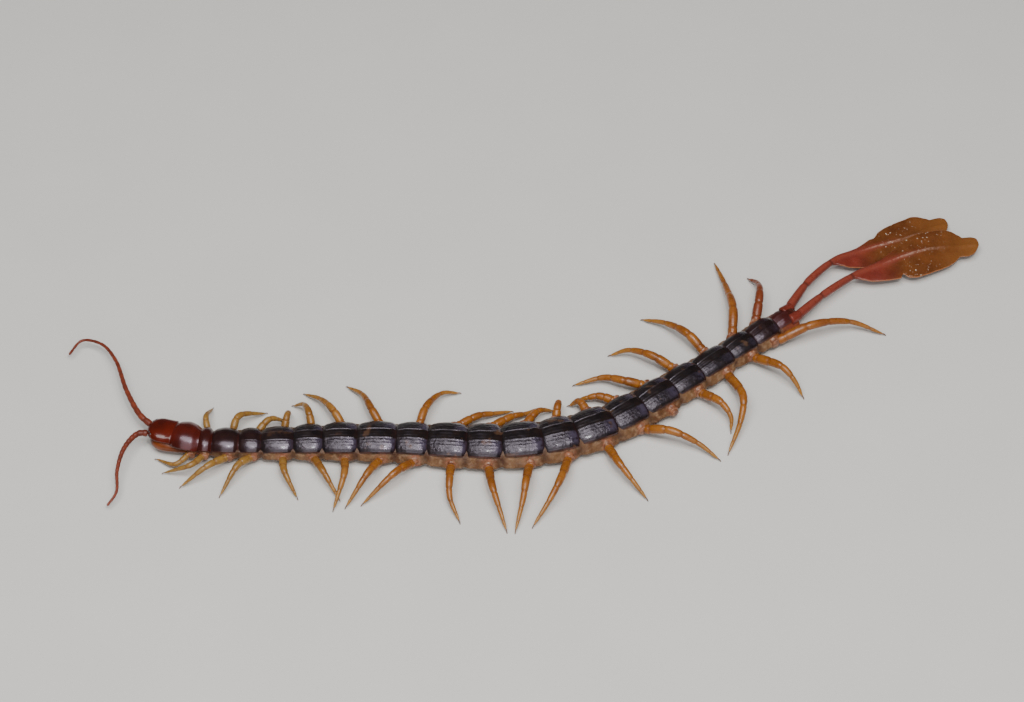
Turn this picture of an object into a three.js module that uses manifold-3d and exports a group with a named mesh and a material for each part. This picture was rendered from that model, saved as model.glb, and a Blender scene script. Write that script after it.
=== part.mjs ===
// A feather-tail giant centipede at life size, still, in the pose of a slow walk.
// The trunk follows one curve on the floor, from the head at -X to the leaf-shaped last legs at +X.
// Along it run 21 segments, each with a back plate, soft flanks, a belly plate and one pair of legs.
// Lengths are in millimetres, angles in degrees, and the floor is z = 0.

import * as THREE from 'three';
import { mergeVertices } from 'three/addons/utils/BufferGeometryUtils.js';
import Module from 'manifold-3d';

const GAP = 0.3;

// The line of the back seen from above, from the front of the head to the end of the trunk
const BODY_LINE = [
  [-49, 1.8], [-45.5, 0.9], [-42, 0], [-33.7, -0.25], [-25, 0], [-15.5, 0], [-6, -0.5], [-1.5, -0.55],
  [4, 0.1], [8.1, 1.2], [13, 3.2], [17, 5.7], [25, 11.7], [32.5, 17.5], [39.4, 22.9],
];
// The middle of the whole model seen from above, which is moved to the origin
const MIDDLE = [2.743, 13.711];

const HEAD = { length: 3.7, top: 3.35, margin: 2.7, underside: 2.3 };
// Stations along the head plate: half its width, and how far its top lies below the highest point
const HEAD_STATIONS = [
  { along: 0, halfWidth: 1.25, sink: 0.45 },
  { along: 0.07, halfWidth: 1.55, sink: 0.25 },
  { along: 0.22, halfWidth: 1.88, sink: 0.08 },
  { along: 0.5, halfWidth: 2.0, sink: 0 },
  { along: 0.8, halfWidth: 1.95, sink: 0 },
  { along: 1, halfWidth: 1.6, sink: 0.15 },
];
// Four eyes in a cluster on each front corner of the head: rearward, outward and up
const EYES = {
  radius: 0.15,
  places: [[0.3, 1.48, 2.88], [0.36, 1.62, 2.68], [0.64, 1.66, 2.93], [0.7, 1.8, 2.7]],
};

// One entry for each segment: its length along the back and half the width of its back plate
const SEGMENT_LENGTHS = [
  3.5, 1.7, 3.65, 3.0, 4.35, 3.85, 4.6,
  5.2, 4.3, 5.25, 4.6, 5.4, 4.6, 5.4,
  4.8, 5.3, 4.8, 5.35, 4.3, 4.15, 3.75,
];
const HALF_WIDTHS = [
  2.55, 2.1, 2.15, 2.15, 2.3, 2.5, 2.65,
  2.75, 2.75, 2.9, 2.95, 2.95, 2.9, 2.75,
  2.6, 2.4, 2.15, 1.95, 1.8, 1.75, 1.35,
];
// The first back plate is a broad hood that stands out past its flanks.
// The soft flanks swell out past the plates by more and more from the front to the middle of the trunk.
const HOOD = { overhang: 0.5, drop: 0.4 };
const PLATE_TOP = { base: 2, rise: 0.7, arch: 0.42 };
const FLANK_SWELL = { front: 0.1, rear: 0.65, from: 6, to: 9 };
const BELLY_HEIGHT = 0.75;
// Stations along a back plate: how wide it is there, and how far it lies below its highest point.
// Each plate starts low, under the one in front, and ends raised.
const PLATE_STATIONS = [
  { along: 0, spread: 0.84, sink: 0.45 },
  { along: 0.14, spread: 0.94, sink: 0.12 },
  { along: 0.5, spread: 1, sink: 0 },
  { along: 0.84, spread: 0.98, sink: 0.05 },
  { along: 1, spread: 0.88, sink: 0.25 },
];
// The crease between the two plates of one trunk length
const PLATE_CREASE = 0.12;

// A leg leaves the flank on a short round coxa, at a share of its segment's length and this high
const COXA = { height: 1.5, reach: 0.3, radius: 0.5, rootRadius: 0.62, depth: 0.9 };
const LEG_PLACE = { first: 0.82, second: 0.57, others: 0.66 };

// The articles of a walking leg: where each starts and ends along the leg, and its radius at both
const LEG_ARTICLES = [
  { from: 0.0, to: 0.07, start: 0.46, end: 0.54 },
  { from: 0.1, to: 0.26, start: 0.51, end: 0.53 },
  { from: 0.3, to: 0.46, start: 0.48, end: 0.46 },
  { from: 0.5, to: 0.66, start: 0.41, end: 0.37 },
  { from: 0.7, to: 0.86, start: 0.32, end: 0.28 },
  { from: 0.89, to: 1.0, start: 0.26, end: 0.2 },
];
// A leg leaves its coxa outward, and leans a little towards its knee from the start
const FIRST_STEP = { out: 0.42, up: 0.1, lean: 0.6 };
const CLAW = { length: 0.45, height: 0.42, tipRadius: 0.1 };

// The pose of each leg, from the body's middle line beside its coxa: forward, outward and up.
// The knee is the top of the leg's arch, the shin a bend below it, and the foot stands on the floor.
const LEFT_LEGS = [
  { knee: [1.7, 3.7, 1.1], foot: [5.0, 2.8] },
  { knee: [1.4, 4.2, 2.2], foot: [5.5, 4.5] },
  { knee: [2.7, 4.2, 2.2], foot: [6.4, 6.4] },
  { knee: [1.9, 3.9, 2.1], foot: [4.3, 7.9] },
  { knee: [-0.3, 4.9, 2.2], foot: [-2.1, 8.4] },
  { knee: [-1.3, 4.9, 2.3], foot: [-3.7, 8.8] },
  { knee: [-0.1, 5.7, 2.4], foot: [1.4, 10.5] },
  { knee: [1.5, 5.5, 2.5], foot: [4.6, 10.1] },
  { knee: [2.3, 5.6, 2.5], foot: [6.7, 9.8] },
  { knee: [0, 5.9, 2.5], shin: [-0.2, 8.7, 1.6], foot: [-1.8, 12.0] },
  { knee: [-0.5, 7.1, 2.6], foot: [-2.6, 13.4] },
  { knee: [1.0, 6.7, 2.6], shin: [1.7, 9.0, 1.8], foot: [3.4, 13.5] },
  { knee: [2.4, 7.1, 2.6], shin: [4.7, 9.5, 1.7], foot: [7.9, 12.2] },
  { knee: [0.2, 6.9, 2.6], foot: [-1.5, 12.9] },
  { knee: [-2.4, 6.2, 2.8], shin: [-4.7, 9.3, 1.7], foot: [-6.2, 12.6] },
  { stump: 1.3 },
  { knee: [-0.6, 6.3, 2.5], shin: [-0.5, 8.6, 1.6], foot: [0.6, 10.0] },
  { knee: [1.7, 7.5, 2.8], shin: [4.1, 9.9, 1.8], foot: [8.5, 12.5] },
  { knee: [-1.2, 7.0, 2.9], shin: [-1.5, 9.5, 1.7], foot: [-1.4, 11.5] },
  { knee: [-5.2, 3.8, 2.9], shin: [-10.4, 6.0, 1.9], foot: [-13.8, 10.0] },
];
const RIGHT_LEGS = [
  { knee: [1.9, 3.95, 1.0], foot: [4.8, 3.0] },
  { knee: [0.7, 4.1, 2.1], foot: [0.3, 7.4] },
  { knee: [-0.9, 4.4, 2.2], foot: [-4.6, 6.6] },
  { knee: [-2.0, 3.9, 2.2], foot: [-4.5, 5.1] },
  { knee: [-0.6, 4.4, 2.5], foot: [-0.9, 6.6] },
  { knee: [0.6, 4.9, 2.5], shin: [1.4, 6.8, 1.6], foot: [3.1, 7.7] },
  { knee: [1.6, 4.8, 2.5], shin: [3.5, 7.6, 1.6], foot: [6.1, 9.7] },
  { knee: [1.6, 5.1, 2.5], shin: [3.1, 8.5, 1.5], foot: [5.5, 10.9] },
  { knee: [-0.9, 6.0, 2.2], shin: [-2.9, 9.3, 1.2], foot: [-5.4, 10.2] },
  { knee: [-3.1, 5.4, 1.5], shin: [-5.4, 6.4, 0.9], foot: [-7.8, 7.4] },
  { knee: [-3.0, 5.3, 1.4], shin: [-5.2, 6.4, 0.8], foot: [-6.8, 7.8] },
  { knee: [-2.3, 5.4, 1.7], foot: [-4.8, 6.4] },
  { knee: [-1.1, 5.45, 2.3], foot: [-2.1, 6.9] },
  { knee: [0.4, 5.2, 1.7], foot: [1.8, 6.2] },
  { knee: [1.6, 5.0, 1.5], shin: [2.9, 5.9, 1.1], foot: [4.4, 7.0] },
  { knee: [2.2, 4.6, 2.2], shin: [3.8, 7.4, 1.4], foot: [7.6, 9.6] },
  { knee: [1.6, 5.6, 2.6], shin: [3.1, 9.1, 1.6], foot: [5.3, 10.9] },
  { knee: [0.5, 5.6, 2.8], shin: [1.0, 9.8, 1.6], foot: [2.6, 13.3] },
  { knee: [-2.8, 5.3, 2.9], shin: [-5.4, 9.7, 1.6], foot: [-7.9, 15.1] },
  { knee: [-3.4, 5.1, 2.9], shin: [-5.2, 7.5, 1.6], foot: [-5.5, 10.0] },
];

// The feelers: points of a smooth curve beyond the face, from above the floor to near it
const ANTENNA_LEFT = [
  [-50.3, 0.8, 2.6], [-51.9, -1.6, 2.6], [-52.6, -5.0, 2.1], [-52.5, -8.2, 1.5], [-53.6, -10.1, 1.0],
];
const ANTENNA_RIGHT = [
  [-50.2, 3.9, 2.7], [-52.4, 8.1, 2.8], [-54.5, 13.9, 2.4], [-56.8, 17.1, 2.0],
  [-59.6, 18.0, 1.6], [-61.2, 15.7, 1.3],
];
const ANTENNA = { spread: 0.72, height: 2.45, rootRadius: 0.4, tipRadius: 0.17, taper: 0.6, articles: 8 };
// Where an article of a feeler is narrow and where it is wide, as shares of its length
const ANTENNA_ARTICLE = [{ place: 0.04, swell: 0.86 }, { place: 0.9, swell: 1.06 }];

// The poison claws lie under the head and grow from a breast plate that reaches forward of segment 1.
// Each station is measured forward from segment 1 and outward from the middle line.
const BREAST_PLATE = { halfWidth: 0.8, reach: 1.5, bottom: 0.7, top: 1.6, depth: 1.0 };
const FORCIPULE = [
  { forward: 0.65, outward: 1.3, radius: 0.42 },
  { forward: 0.9, outward: 1.6, radius: 0.62 },
  { forward: 1.6, outward: 1.8, radius: 0.7 },
  { forward: 2.4, outward: 1.6, radius: 0.58 },
  { forward: 3.1, outward: 1.05, radius: 0.35 },
  { forward: 3.3, outward: 0.42, radius: 0.12 },
];
const FORCIPULE_HEIGHT = 1.3;

// The leaf-shaped last legs, by the points of their midribs. Both leaves lie tilted the same way,
// with the left edge lower, and their joints run aslant, with the left edge nearer the root.
const LAST_LEG_LEFT = [
  [44.2, 26.5, 2.1], [49.0, 30.2, 2.0], [52.1, 31.6, 2.0], [55.5, 33.3, 1.95],
  [58.7, 34.6, 1.85], [63.1, 35.4, 1.7], [66.6, 35.9, 1.6],
];
const LAST_LEG_RIGHT = [
  [42.1, 29.0, 2.1], [46.3, 33.1, 1.9], [49.2, 34.4, 1.6], [51.5, 35.5, 1.4],
  [54.0, 36.6, 1.2], [57.0, 37.8, 1.1], [60.7, 39.7, 1.1], [62.7, 40.3, 1.0],
];
const LEAF = { tilt: 6, slant: 18, slantFrom: 0.36, slantTo: 0.48 };
// Stations along a last leg: its width to the left and right of the midrib, and half its thickness
const LAST_LEG_STATIONS = [
  { along: 0, left: 0.42, right: 0.42, half: 0.42 },
  { along: 0.03, left: 0.58, right: 0.58, half: 0.54 },
  { along: 0.15, left: 0.5, right: 0.5, half: 0.48 },
  { along: 0.17, left: 0.4, right: 0.4, half: 0.4 },
  { along: 0.195, left: 0.52, right: 0.5, half: 0.46 },
  { along: 0.33, left: 0.5, right: 0.48, half: 0.44 },
  { along: 0.36, left: 0.45, right: 0.42, half: 0.38 },
  { along: 0.39, left: 1.2, right: 0.48, half: 0.38 },
  { along: 0.44, left: 2.0, right: 0.5, half: 0.35 },
  { along: 0.5, left: 2.6, right: 0.75, half: 0.33 },
  { along: 0.56, left: 3.1, right: 1.25, half: 0.31 },
  { along: 0.595, left: 3.3, right: 1.6, half: 0.3 },
  { along: 0.61, left: 2.8, right: 1.6, half: 0.3 },
  { along: 0.64, left: 3.7, right: 2.4, half: 0.3 },
  { along: 0.69, left: 4.2, right: 2.95, half: 0.3 },
  { along: 0.76, left: 4.3, right: 3.3, half: 0.3 },
  { along: 0.815, left: 4.0, right: 3.3, half: 0.3 },
  { along: 0.86, left: 3.5, right: 2.85, half: 0.3 },
  { along: 0.9, left: 2.8, right: 2.1, half: 0.28 },
  { along: 0.925, left: 2.2, right: 1.5, half: 0.26 },
  { along: 0.937, left: 1.3, right: 1.0, half: 0.26 },
  { along: 0.96, left: 1.75, right: 1.45, half: 0.26 },
  { along: 0.985, left: 1.35, right: 1.0, half: 0.24 },
  { along: 1, left: 0.6, right: 0.5, half: 0.2 },
];
// The hip of a last leg, behind the last back plate, and the blunt spike under it
const LAST_COXA = { outward: 0.9, height: 2.2, inside: 1.7, reach: 0.3, rootRadius: 0.75, endRadius: 0.5 };
const HIP_SPIKE = { outward: 1, height: 1.35, inside: 2.4, reach: 0.75, rootRadius: 0.5, endRadius: 0.16 };

const FLESH_SIDES = 7;
const UP = new THREE.Vector3(0, 0, 1);

const sides = [
  { word: 'left', hand: -1, legs: LEFT_LEGS, feeler: ANTENNA_LEFT, last: LAST_LEG_LEFT },
  { word: 'right', hand: 1, legs: RIGHT_LEGS, feeler: ANTENNA_RIGHT, last: LAST_LEG_RIGHT },
];

const wasm = await Module();
wasm.setup();

// One closed body from a row of rings. Each ring has a centre, a facing and a profile of [side, up] pairs
// that runs anticlockwise as seen by someone who looks back along the row.
function loft(rings) {
  const corners = [];
  for (const { centre, side, up, profile } of rings) {
    for (const [x, y] of profile) {
      corners.push(centre.clone().addScaledVector(side, x).addScaledVector(up, y));
    }
  }
  const count = rings[0].profile.length;
  const faces = [];
  for (let ring = 0; ring + 1 < rings.length; ring += 1) {
    for (let i = 0; i < count; i += 1) {
      const next = (i + 1) % count;
      const [a, b] = [ring * count + i, ring * count + next];
      const [c, d] = [b + count, a + count];
      if (i < count / 2) {
        faces.push(a, b, c, a, c, d);
      } else {
        faces.push(a, b, d, b, c, d);
      }
    }
  }
  faces.push(...capFaces(rings[0].profile, 0, false));
  faces.push(...capFaces(rings.at(-1).profile, (rings.length - 1) * count, true));
  const geometry = new THREE.BufferGeometry().setFromPoints(corners);
  geometry.setIndex(faces);
  return geometry;
}

// The flat end of a loft, facing along the row at its end and against it at its start
function capFaces(profile, first, alongRow) {
  const contour = profile.map(([x, y]) => new THREE.Vector2(x, y));
  const anticlockwise = !THREE.ShapeUtils.isClockWise(contour);
  const faces = [];
  for (const [a, b, c] of THREE.ShapeUtils.triangulateShape(contour, [])) {
    const turnsLeft = !THREE.ShapeUtils.isClockWise([contour[a], contour[b], contour[c]]);
    const keep = (turnsLeft === anticlockwise) === alongRow;
    faces.push(first + a, first + (keep ? b : c), first + (keep ? c : b));
  }
  return faces;
}

// A ring that faces along a direction, with its first axis level
function ringFacing(centre, direction, profile, side = null) {
  const level = side ?? new THREE.Vector3().crossVectors(UP, direction).normalize();
  const up = new THREE.Vector3().crossVectors(direction, level).normalize();
  return { centre, side: level, up, profile };
}

function roundProfile(radius, sides = FLESH_SIDES) {
  return Array.from({ length: sides }, (_, i) => {
    const angle = (2 * Math.PI * (i + 0.5)) / sides;
    return [radius * Math.cos(angle), radius * Math.sin(angle)];
  });
}

// A profile given by its right half, from the lowest point to the highest, and mirrored to the left
function mirrored(half) {
  return [...half, ...half.map(([x, y]) => [-x, y]).reverse()];
}

function solidOf(geometry) {
  const vertProperties = new Float32Array(geometry.getAttribute('position').array);
  const triVerts = new Uint32Array(geometry.getIndex().array);
  return new wasm.Manifold(new wasm.Mesh({ numProp: 3, vertProperties, triVerts }));
}

// Several closed bodies that run into each other, made one
function fuse(geometries) {
  const whole = geometries.map(solidOf).reduce((sum, piece) => sum.add(piece));
  const [largest] = whole.decompose().sort((one, other) => other.volume() - one.volume());
  const { vertProperties, triVerts } = largest.getMesh();
  const geometry = new THREE.BufferGeometry();
  geometry.setAttribute('position', new THREE.BufferAttribute(new Float32Array(vertProperties), 3));
  geometry.setIndex(new THREE.BufferAttribute(new Uint32Array(triVerts), 1));
  return geometry;
}

// A round bar that tapers between two points
function taperedBar(start, end, startRadius, endRadius, sides = 8) {
  const direction = end.clone().sub(start).normalize();
  return loft([
    ringFacing(start, direction, roundProfile(startRadius, sides)),
    ringFacing(end, direction, roundProfile(endRadius, sides)),
  ]);
}

const bodyLine = new THREE.CatmullRomCurve3(
  BODY_LINE.map(([x, y]) => new THREE.Vector3(x, y, 0)), false, 'centripetal',
);
const bodyLength = bodyLine.getLength();

// The place on the body's line at a distance from the front of the head: rearward and to the right
function bodyFrame(distance) {
  const share = Math.min(distance / bodyLength, 1);
  const centre = bodyLine.getPointAt(share);
  const rearward = bodyLine.getTangentAt(share);
  return { centre, rearward, right: new THREE.Vector3().crossVectors(UP, rearward) };
}

// A point given forward, outward and up from the middle of the body, on the left (-1) or right (1)
function fromBody(frame, hand, [forward, outward, up]) {
  return frame.centre.clone()
    .addScaledVector(frame.rearward, -forward)
    .addScaledVector(frame.right, hand * outward)
    .addScaledVector(UP, up);
}

const segmentStart = SEGMENT_LENGTHS.map((_, index) =>
  SEGMENT_LENGTHS.slice(0, index).reduce((sum, length) => sum + length, HEAD.length));

const plateTop = (index) => PLATE_TOP.base + PLATE_TOP.rise * HALF_WIDTHS[index];
const plateMargin = (index) =>
  plateTop(index) - PLATE_TOP.arch * HALF_WIDTHS[index] - (index === 0 ? HOOD.drop : 0);

// Half the width of the body where its flank meets the back plate, and further down where it is widest
const flankHalfWidth = (index) => HALF_WIDTHS[index] - (index === 0 ? HOOD.overhang : 0);

function flankSide(index) {
  const { front, rear, from, to } = FLANK_SWELL;
  const swell = THREE.MathUtils.mapLinear(THREE.MathUtils.clamp(index, from, to), from, to, front, rear);
  return flankHalfWidth(index) + swell;
}

// A slice of the trunk: belly plate, swollen flank, and the back plate that hangs over it
function trunkProfile(index, spread, sink) {
  const wide = HALF_WIDTHS[index] * spread;
  const flank = flankHalfWidth(index) * spread;
  const swollen = flankSide(index) * spread;
  const top = plateTop(index) - sink;
  const margin = plateMargin(index) - sink;
  const crown = top - margin;
  const [bulge, fold] = [BELLY_HEIGHT + 0.6, margin - 0.15];
  return mirrored([
    [0.55 * flank, BELLY_HEIGHT],
    [swollen - 0.4, BELLY_HEIGHT + 0.15],
    [swollen, bulge],
    [0.5 * (swollen + flank), 0.5 * (bulge + fold)],
    [flank - 0.2, fold],
    [wide, margin],
    [0.94 * wide, margin + 0.26 * crown],
    [0.68 * wide, margin + 0.66 * crown],
    [0.28 * wide, margin + 0.98 * crown],
  ]);
}

// An upright slice across the body's line
function uprightRing(distance, profile) {
  const { centre, right } = bodyFrame(distance);
  return { centre, side: right, up: UP, profile };
}

// One segment or two in one length of trunk
function trunkLength(first, last) {
  const rings = [];
  for (let index = first; index <= last; index += 1) {
    const start = segmentStart[index] + (index === first ? GAP : PLATE_CREASE) / 2;
    const end = segmentStart[index] + SEGMENT_LENGTHS[index] - (index === last ? GAP : PLATE_CREASE) / 2;
    for (const { along, spread, sink } of PLATE_STATIONS) {
      rings.push(uprightRing(THREE.MathUtils.lerp(start, end, along), trunkProfile(index, spread, sink)));
    }
  }
  return loft(rings);
}

function legFrame(index) {
  const share = [LEG_PLACE.first, LEG_PLACE.second][index] ?? LEG_PLACE.others;
  return bodyFrame(segmentStart[index] + share * SEGMENT_LENGTHS[index]);
}

const coxaEnd = (index) => flankSide(index) + COXA.reach;

function coxa(index, hand) {
  const frame = legFrame(index);
  const inner = fromBody(frame, hand, [0, coxaEnd(index) - COXA.depth, COXA.height]);
  const outer = fromBody(frame, hand, [0, coxaEnd(index), COXA.height]);
  return taperedBar(inner, outer, COXA.rootRadius, COXA.radius);
}

// The front legs are the most slender and the last walking legs the stoutest
const legThickness = (index) => 0.86 + 0.014 * index;

// A walking leg from its coxa over the knee to the floor, with its joints narrower than its articles
function walkingLeg(index, hand, pose) {
  const frame = legFrame(index);
  const outward = frame.right.clone().multiplyScalar(hand);
  const root = fromBody(frame, hand, [0, coxaEnd(index) + GAP, COXA.height]);
  if (pose.stump) {
    const end = root.clone().addScaledVector(outward, pose.stump);
    return taperedBar(root, end, LEG_ARTICLES[0].start, LEG_ARTICLES[0].end, FLESH_SIDES);
  }
  const bends = [pose.knee, pose.shin].filter(Boolean).map((bend) => fromBody(frame, hand, bend));
  const foot = fromBody(frame, hand, [...pose.foot, 0]);
  const level = foot.clone().sub(bends.at(-1)).setZ(0).normalize();
  const ankle = foot.clone().addScaledVector(level, -CLAW.length).setZ(CLAW.height);
  const lean = bends[0].clone().sub(root).setZ(0).normalize();
  const stepOut = outward.clone().addScaledVector(lean, FIRST_STEP.lean).setLength(FIRST_STEP.out);
  const firstStep = root.clone().add(stepOut).addScaledVector(UP, FIRST_STEP.up);
  const path = new THREE.CatmullRomCurve3([root, firstStep, ...bends, ankle], false, 'centripetal');
  const rings = LEG_ARTICLES.flatMap(({ from, to, start, end }) => [[from, start], [to, end]])
    .map(([share, radius]) => {
      const direction = share === 0 ? outward : path.getTangentAt(share);
      return ringFacing(path.getPointAt(share), direction, roundProfile(radius * legThickness(index)));
    });
  const down = UP.clone().negate();
  rings.push(ringFacing(foot, down, roundProfile(CLAW.tipRadius), rings.at(-1).side));
  return loft(rings);
}

// A feeler of short articles, each a little wider at its far end
function antenna(hand, points) {
  const frame = bodyFrame(0);
  const root = fromBody(frame, hand, [GAP, ANTENNA.spread, ANTENNA.height]);
  const path = new THREE.CatmullRomCurve3(
    [root, ...points.map((point) => new THREE.Vector3(...point))], false, 'centripetal',
  );
  const rings = [];
  for (let article = 0; article < ANTENNA.articles; article += 1) {
    for (const { place, swell } of ANTENNA_ARTICLE) {
      const share = article === 0 && swell < 1 ? 0 : (article + place) / ANTENNA.articles;
      const { rootRadius, tipRadius, taper } = ANTENNA;
      const radius = swell * THREE.MathUtils.lerp(rootRadius, tipRadius, share ** taper);
      const direction = share === 0 ? frame.rearward.clone().negate() : path.getTangentAt(share);
      rings.push(ringFacing(path.getPointAt(share), direction, roundProfile(radius)));
    }
  }
  return loft(rings);
}

function headProfile(halfWidth, sink) {
  const { top, margin, underside } = HEAD;
  return mirrored([
    [0.5 * halfWidth, underside],
    [0.85 * halfWidth, underside + 0.1],
    [0.96 * halfWidth, margin - 0.15],
    [halfWidth, margin],
    [0.93 * halfWidth, margin + 0.4 * (top - margin - sink)],
    [0.7 * halfWidth, margin + 0.8 * (top - margin - sink)],
    [0.35 * halfWidth, top - sink],
  ]);
}

// The head plate and the mouth under it, with four eyes in a cluster on each front corner
function head() {
  const plate = loft(HEAD_STATIONS.map(({ along, halfWidth, sink }) =>
    uprightRing(along * (HEAD.length - GAP / 2), headProfile(halfWidth, sink))));
  const front = bodyFrame(0);
  const eyes = sides.flatMap(({ hand }) => EYES.places.map(([rearward, outward, up]) => {
    const ball = new THREE.IcosahedronGeometry(EYES.radius, 1);
    ball.deleteAttribute('normal').deleteAttribute('uv');
    const { x, y, z } = fromBody(front, hand, [-rearward, outward, up]);
    return mergeVertices(ball).translate(x, y, z);
  }));
  return fuse([plate, ...eyes]);
}

// The breast plate under the head, which carries the poison claws
function breastPlate() {
  const { halfWidth, reach, bottom, top, depth } = BREAST_PLATE;
  const [start, end] = [segmentStart[0] - reach, segmentStart[0] + depth];
  const slab = mirrored([
    [0.8 * halfWidth, bottom], [halfWidth, bottom + 0.2], [halfWidth, top - 0.1], [0.8 * halfWidth, top],
  ]);
  return loft([uprightRing(start, slab), uprightRing(end, slab)]);
}

function forcipule(hand) {
  const frame = bodyFrame(segmentStart[0]);
  const points = FORCIPULE.map(({ forward, outward }) =>
    fromBody(frame, hand, [forward, outward, FORCIPULE_HEIGHT]));
  const path = new THREE.CatmullRomCurve3(points, false, 'centripetal');
  const rings = points.map((point, i) => {
    const direction = i === 0
      ? frame.right.clone().multiplyScalar(hand)
      : path.getTangent(i / (points.length - 1));
    return ringFacing(point, direction, roundProfile(FORCIPULE[i].radius, 8));
  });
  return loft(rings);
}

// A bar along the body that stands out behind the last back plate, for a last leg's hip and its spike
function hipBar(hand, { outward, height, inside, reach, rootRadius, endRadius }) {
  const frame = bodyFrame(bodyLength);
  const inner = fromBody(frame, hand, [inside, outward - 0.1, height]);
  const outer = fromBody(frame, hand, [-reach, outward, height]);
  return taperedBar(inner, outer, rootRadius, endRadius);
}

function bladeProfile(right, left, half) {
  const [edge, shoulder] = [0.55 * half, 0.9 * half];
  return [
    [right, -edge], [right, edge], [0.6 * right, shoulder], [0, half], [-0.6 * left, shoulder],
    [-left, edge], [-left, -edge], [-0.6 * left, -shoulder], [0, -half], [0.6 * right, -shoulder],
  ];
}

// A last leg: slender at first, then a broad leaf that ends in a small oval article
function lastLeg(hand, midrib) {
  const frame = bodyFrame(bodyLength);
  const root = fromBody(frame, hand, [-LAST_COXA.reach - GAP, LAST_COXA.outward, LAST_COXA.height]);
  const points = [root, ...midrib.map((point) => new THREE.Vector3(...point))];
  const path = new THREE.CatmullRomCurve3(points, false, 'centripetal');
  return loft(LAST_LEG_STATIONS.map(({ along, left, right, half }) => {
    const direction = along === 0 ? frame.rearward : path.getTangentAt(along);
    const leafy = THREE.MathUtils.smoothstep(along, LEAF.slantFrom, LEAF.slantTo);
    const ring = ringFacing(path.getPointAt(along), direction, bladeProfile(right, left, half));
    ring.up.applyAxisAngle(direction, THREE.MathUtils.degToRad(leafy * LEAF.tilt));
    ring.side.applyAxisAngle(direction, THREE.MathUtils.degToRad(leafy * LEAF.tilt));
    ring.side.applyAxisAngle(ring.up, THREE.MathUtils.degToRad(-leafy * LEAF.slant));
    return ring;
  }));
}

const finishes = {
  head: { color: '#6f1d12', roughness: 0.3 },
  trunk: { color: '#2a2120', roughness: 0.35 },
  leg: { color: '#a9672a', roughness: 0.4 },
  antenna: { color: '#82322a', roughness: 0.5 },
  forcipule: { color: '#9c4a18', roughness: 0.3 },
  leaf: { color: '#87482a', roughness: 0.45 },
};

const model = new THREE.Group();

function addNode(name, geometry, finish) {
  const material = new THREE.MeshStandardMaterial({ ...finishes[finish], metalness: 0 });
  const mesh = new THREE.Mesh(geometry, material);
  mesh.name = name;
  model.add(mesh);
}

const twoDigits = (number) => String(number).padStart(2, '0');
addNode('head', head(), 'head');

for (let first = 0; first < SEGMENT_LENGTHS.length; first += 2) {
  const last = Math.min(first + 1, SEGMENT_LENGTHS.length - 1);
  const pieces = [trunkLength(first, last)];
  for (const { hand } of sides) {
    if (last === first) {
      pieces.push(hipBar(hand, LAST_COXA), hipBar(hand, HIP_SPIKE));
    } else {
      pieces.push(coxa(first, hand), coxa(last, hand));
    }
  }
  if (first === 0) {
    pieces.push(breastPlate());
  }
  const span = last === first ? twoDigits(first + 1) : `${twoDigits(first + 1)}_${twoDigits(last + 1)}`;
  addNode(`trunk_${span}`, fuse(pieces), 'trunk');
}

for (const { word, hand, legs, feeler, last } of sides) {
  addNode(`antenna_${word}`, antenna(hand, feeler), 'antenna');
  addNode(`forcipule_${word}`, forcipule(hand), 'forcipule');
  legs.forEach((pose, index) => {
    addNode(`leg_${word}_${twoDigits(index + 1)}`, walkingLeg(index, hand, pose), 'leg');
  });
  addNode(`last_leg_${word}`, lastLeg(hand, last), 'leaf');
}

for (const mesh of model.children) {
  mesh.geometry.computeVertexNormals();
}
model.position.set(-MIDDLE[0], -MIDDLE[1], 0);

export default model;
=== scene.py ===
import bisect
import functools
import math

import bpy
from mathutils import Matrix, Vector, noise


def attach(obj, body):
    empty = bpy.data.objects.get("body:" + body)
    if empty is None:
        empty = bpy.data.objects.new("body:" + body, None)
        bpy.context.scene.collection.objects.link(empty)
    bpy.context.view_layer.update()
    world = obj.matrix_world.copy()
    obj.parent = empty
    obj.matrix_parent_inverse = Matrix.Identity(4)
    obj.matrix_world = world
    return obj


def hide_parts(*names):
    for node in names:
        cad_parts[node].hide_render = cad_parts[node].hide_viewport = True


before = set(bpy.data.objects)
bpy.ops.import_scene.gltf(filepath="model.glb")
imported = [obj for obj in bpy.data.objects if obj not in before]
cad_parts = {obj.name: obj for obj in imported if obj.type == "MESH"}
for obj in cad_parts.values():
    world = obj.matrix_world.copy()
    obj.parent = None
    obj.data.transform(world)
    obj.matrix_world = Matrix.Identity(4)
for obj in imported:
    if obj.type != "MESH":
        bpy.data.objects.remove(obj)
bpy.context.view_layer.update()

# The view: the animal lies on a plain pale table and is seen from its left and from well above, as
# a long close-up lens shows it. One long soft light hangs over it, a broad one stands on the side of
# the lens, and a small one between them gives the wet glints.
VIEW_ELEVATION = math.radians(50)
VIEW_DISTANCE = 0.395
VIEW_TARGET = Vector((-0.002743, 0.003789, 0))
LENS = {"lens": 100, "sensor_width": 36, "clip_start": 0.01}
to_camera = Vector((0, -math.cos(VIEW_ELEVATION), math.sin(VIEW_ELEVATION)))
bpy.ops.object.camera_add(
    location=VIEW_TARGET + VIEW_DISTANCE * to_camera, rotation=(math.pi / 2 - VIEW_ELEVATION, 0, 0))
camera = bpy.context.object
for setting, value in LENS.items():
    setattr(camera.data, setting, value)
bpy.context.scene.camera = camera

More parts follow.
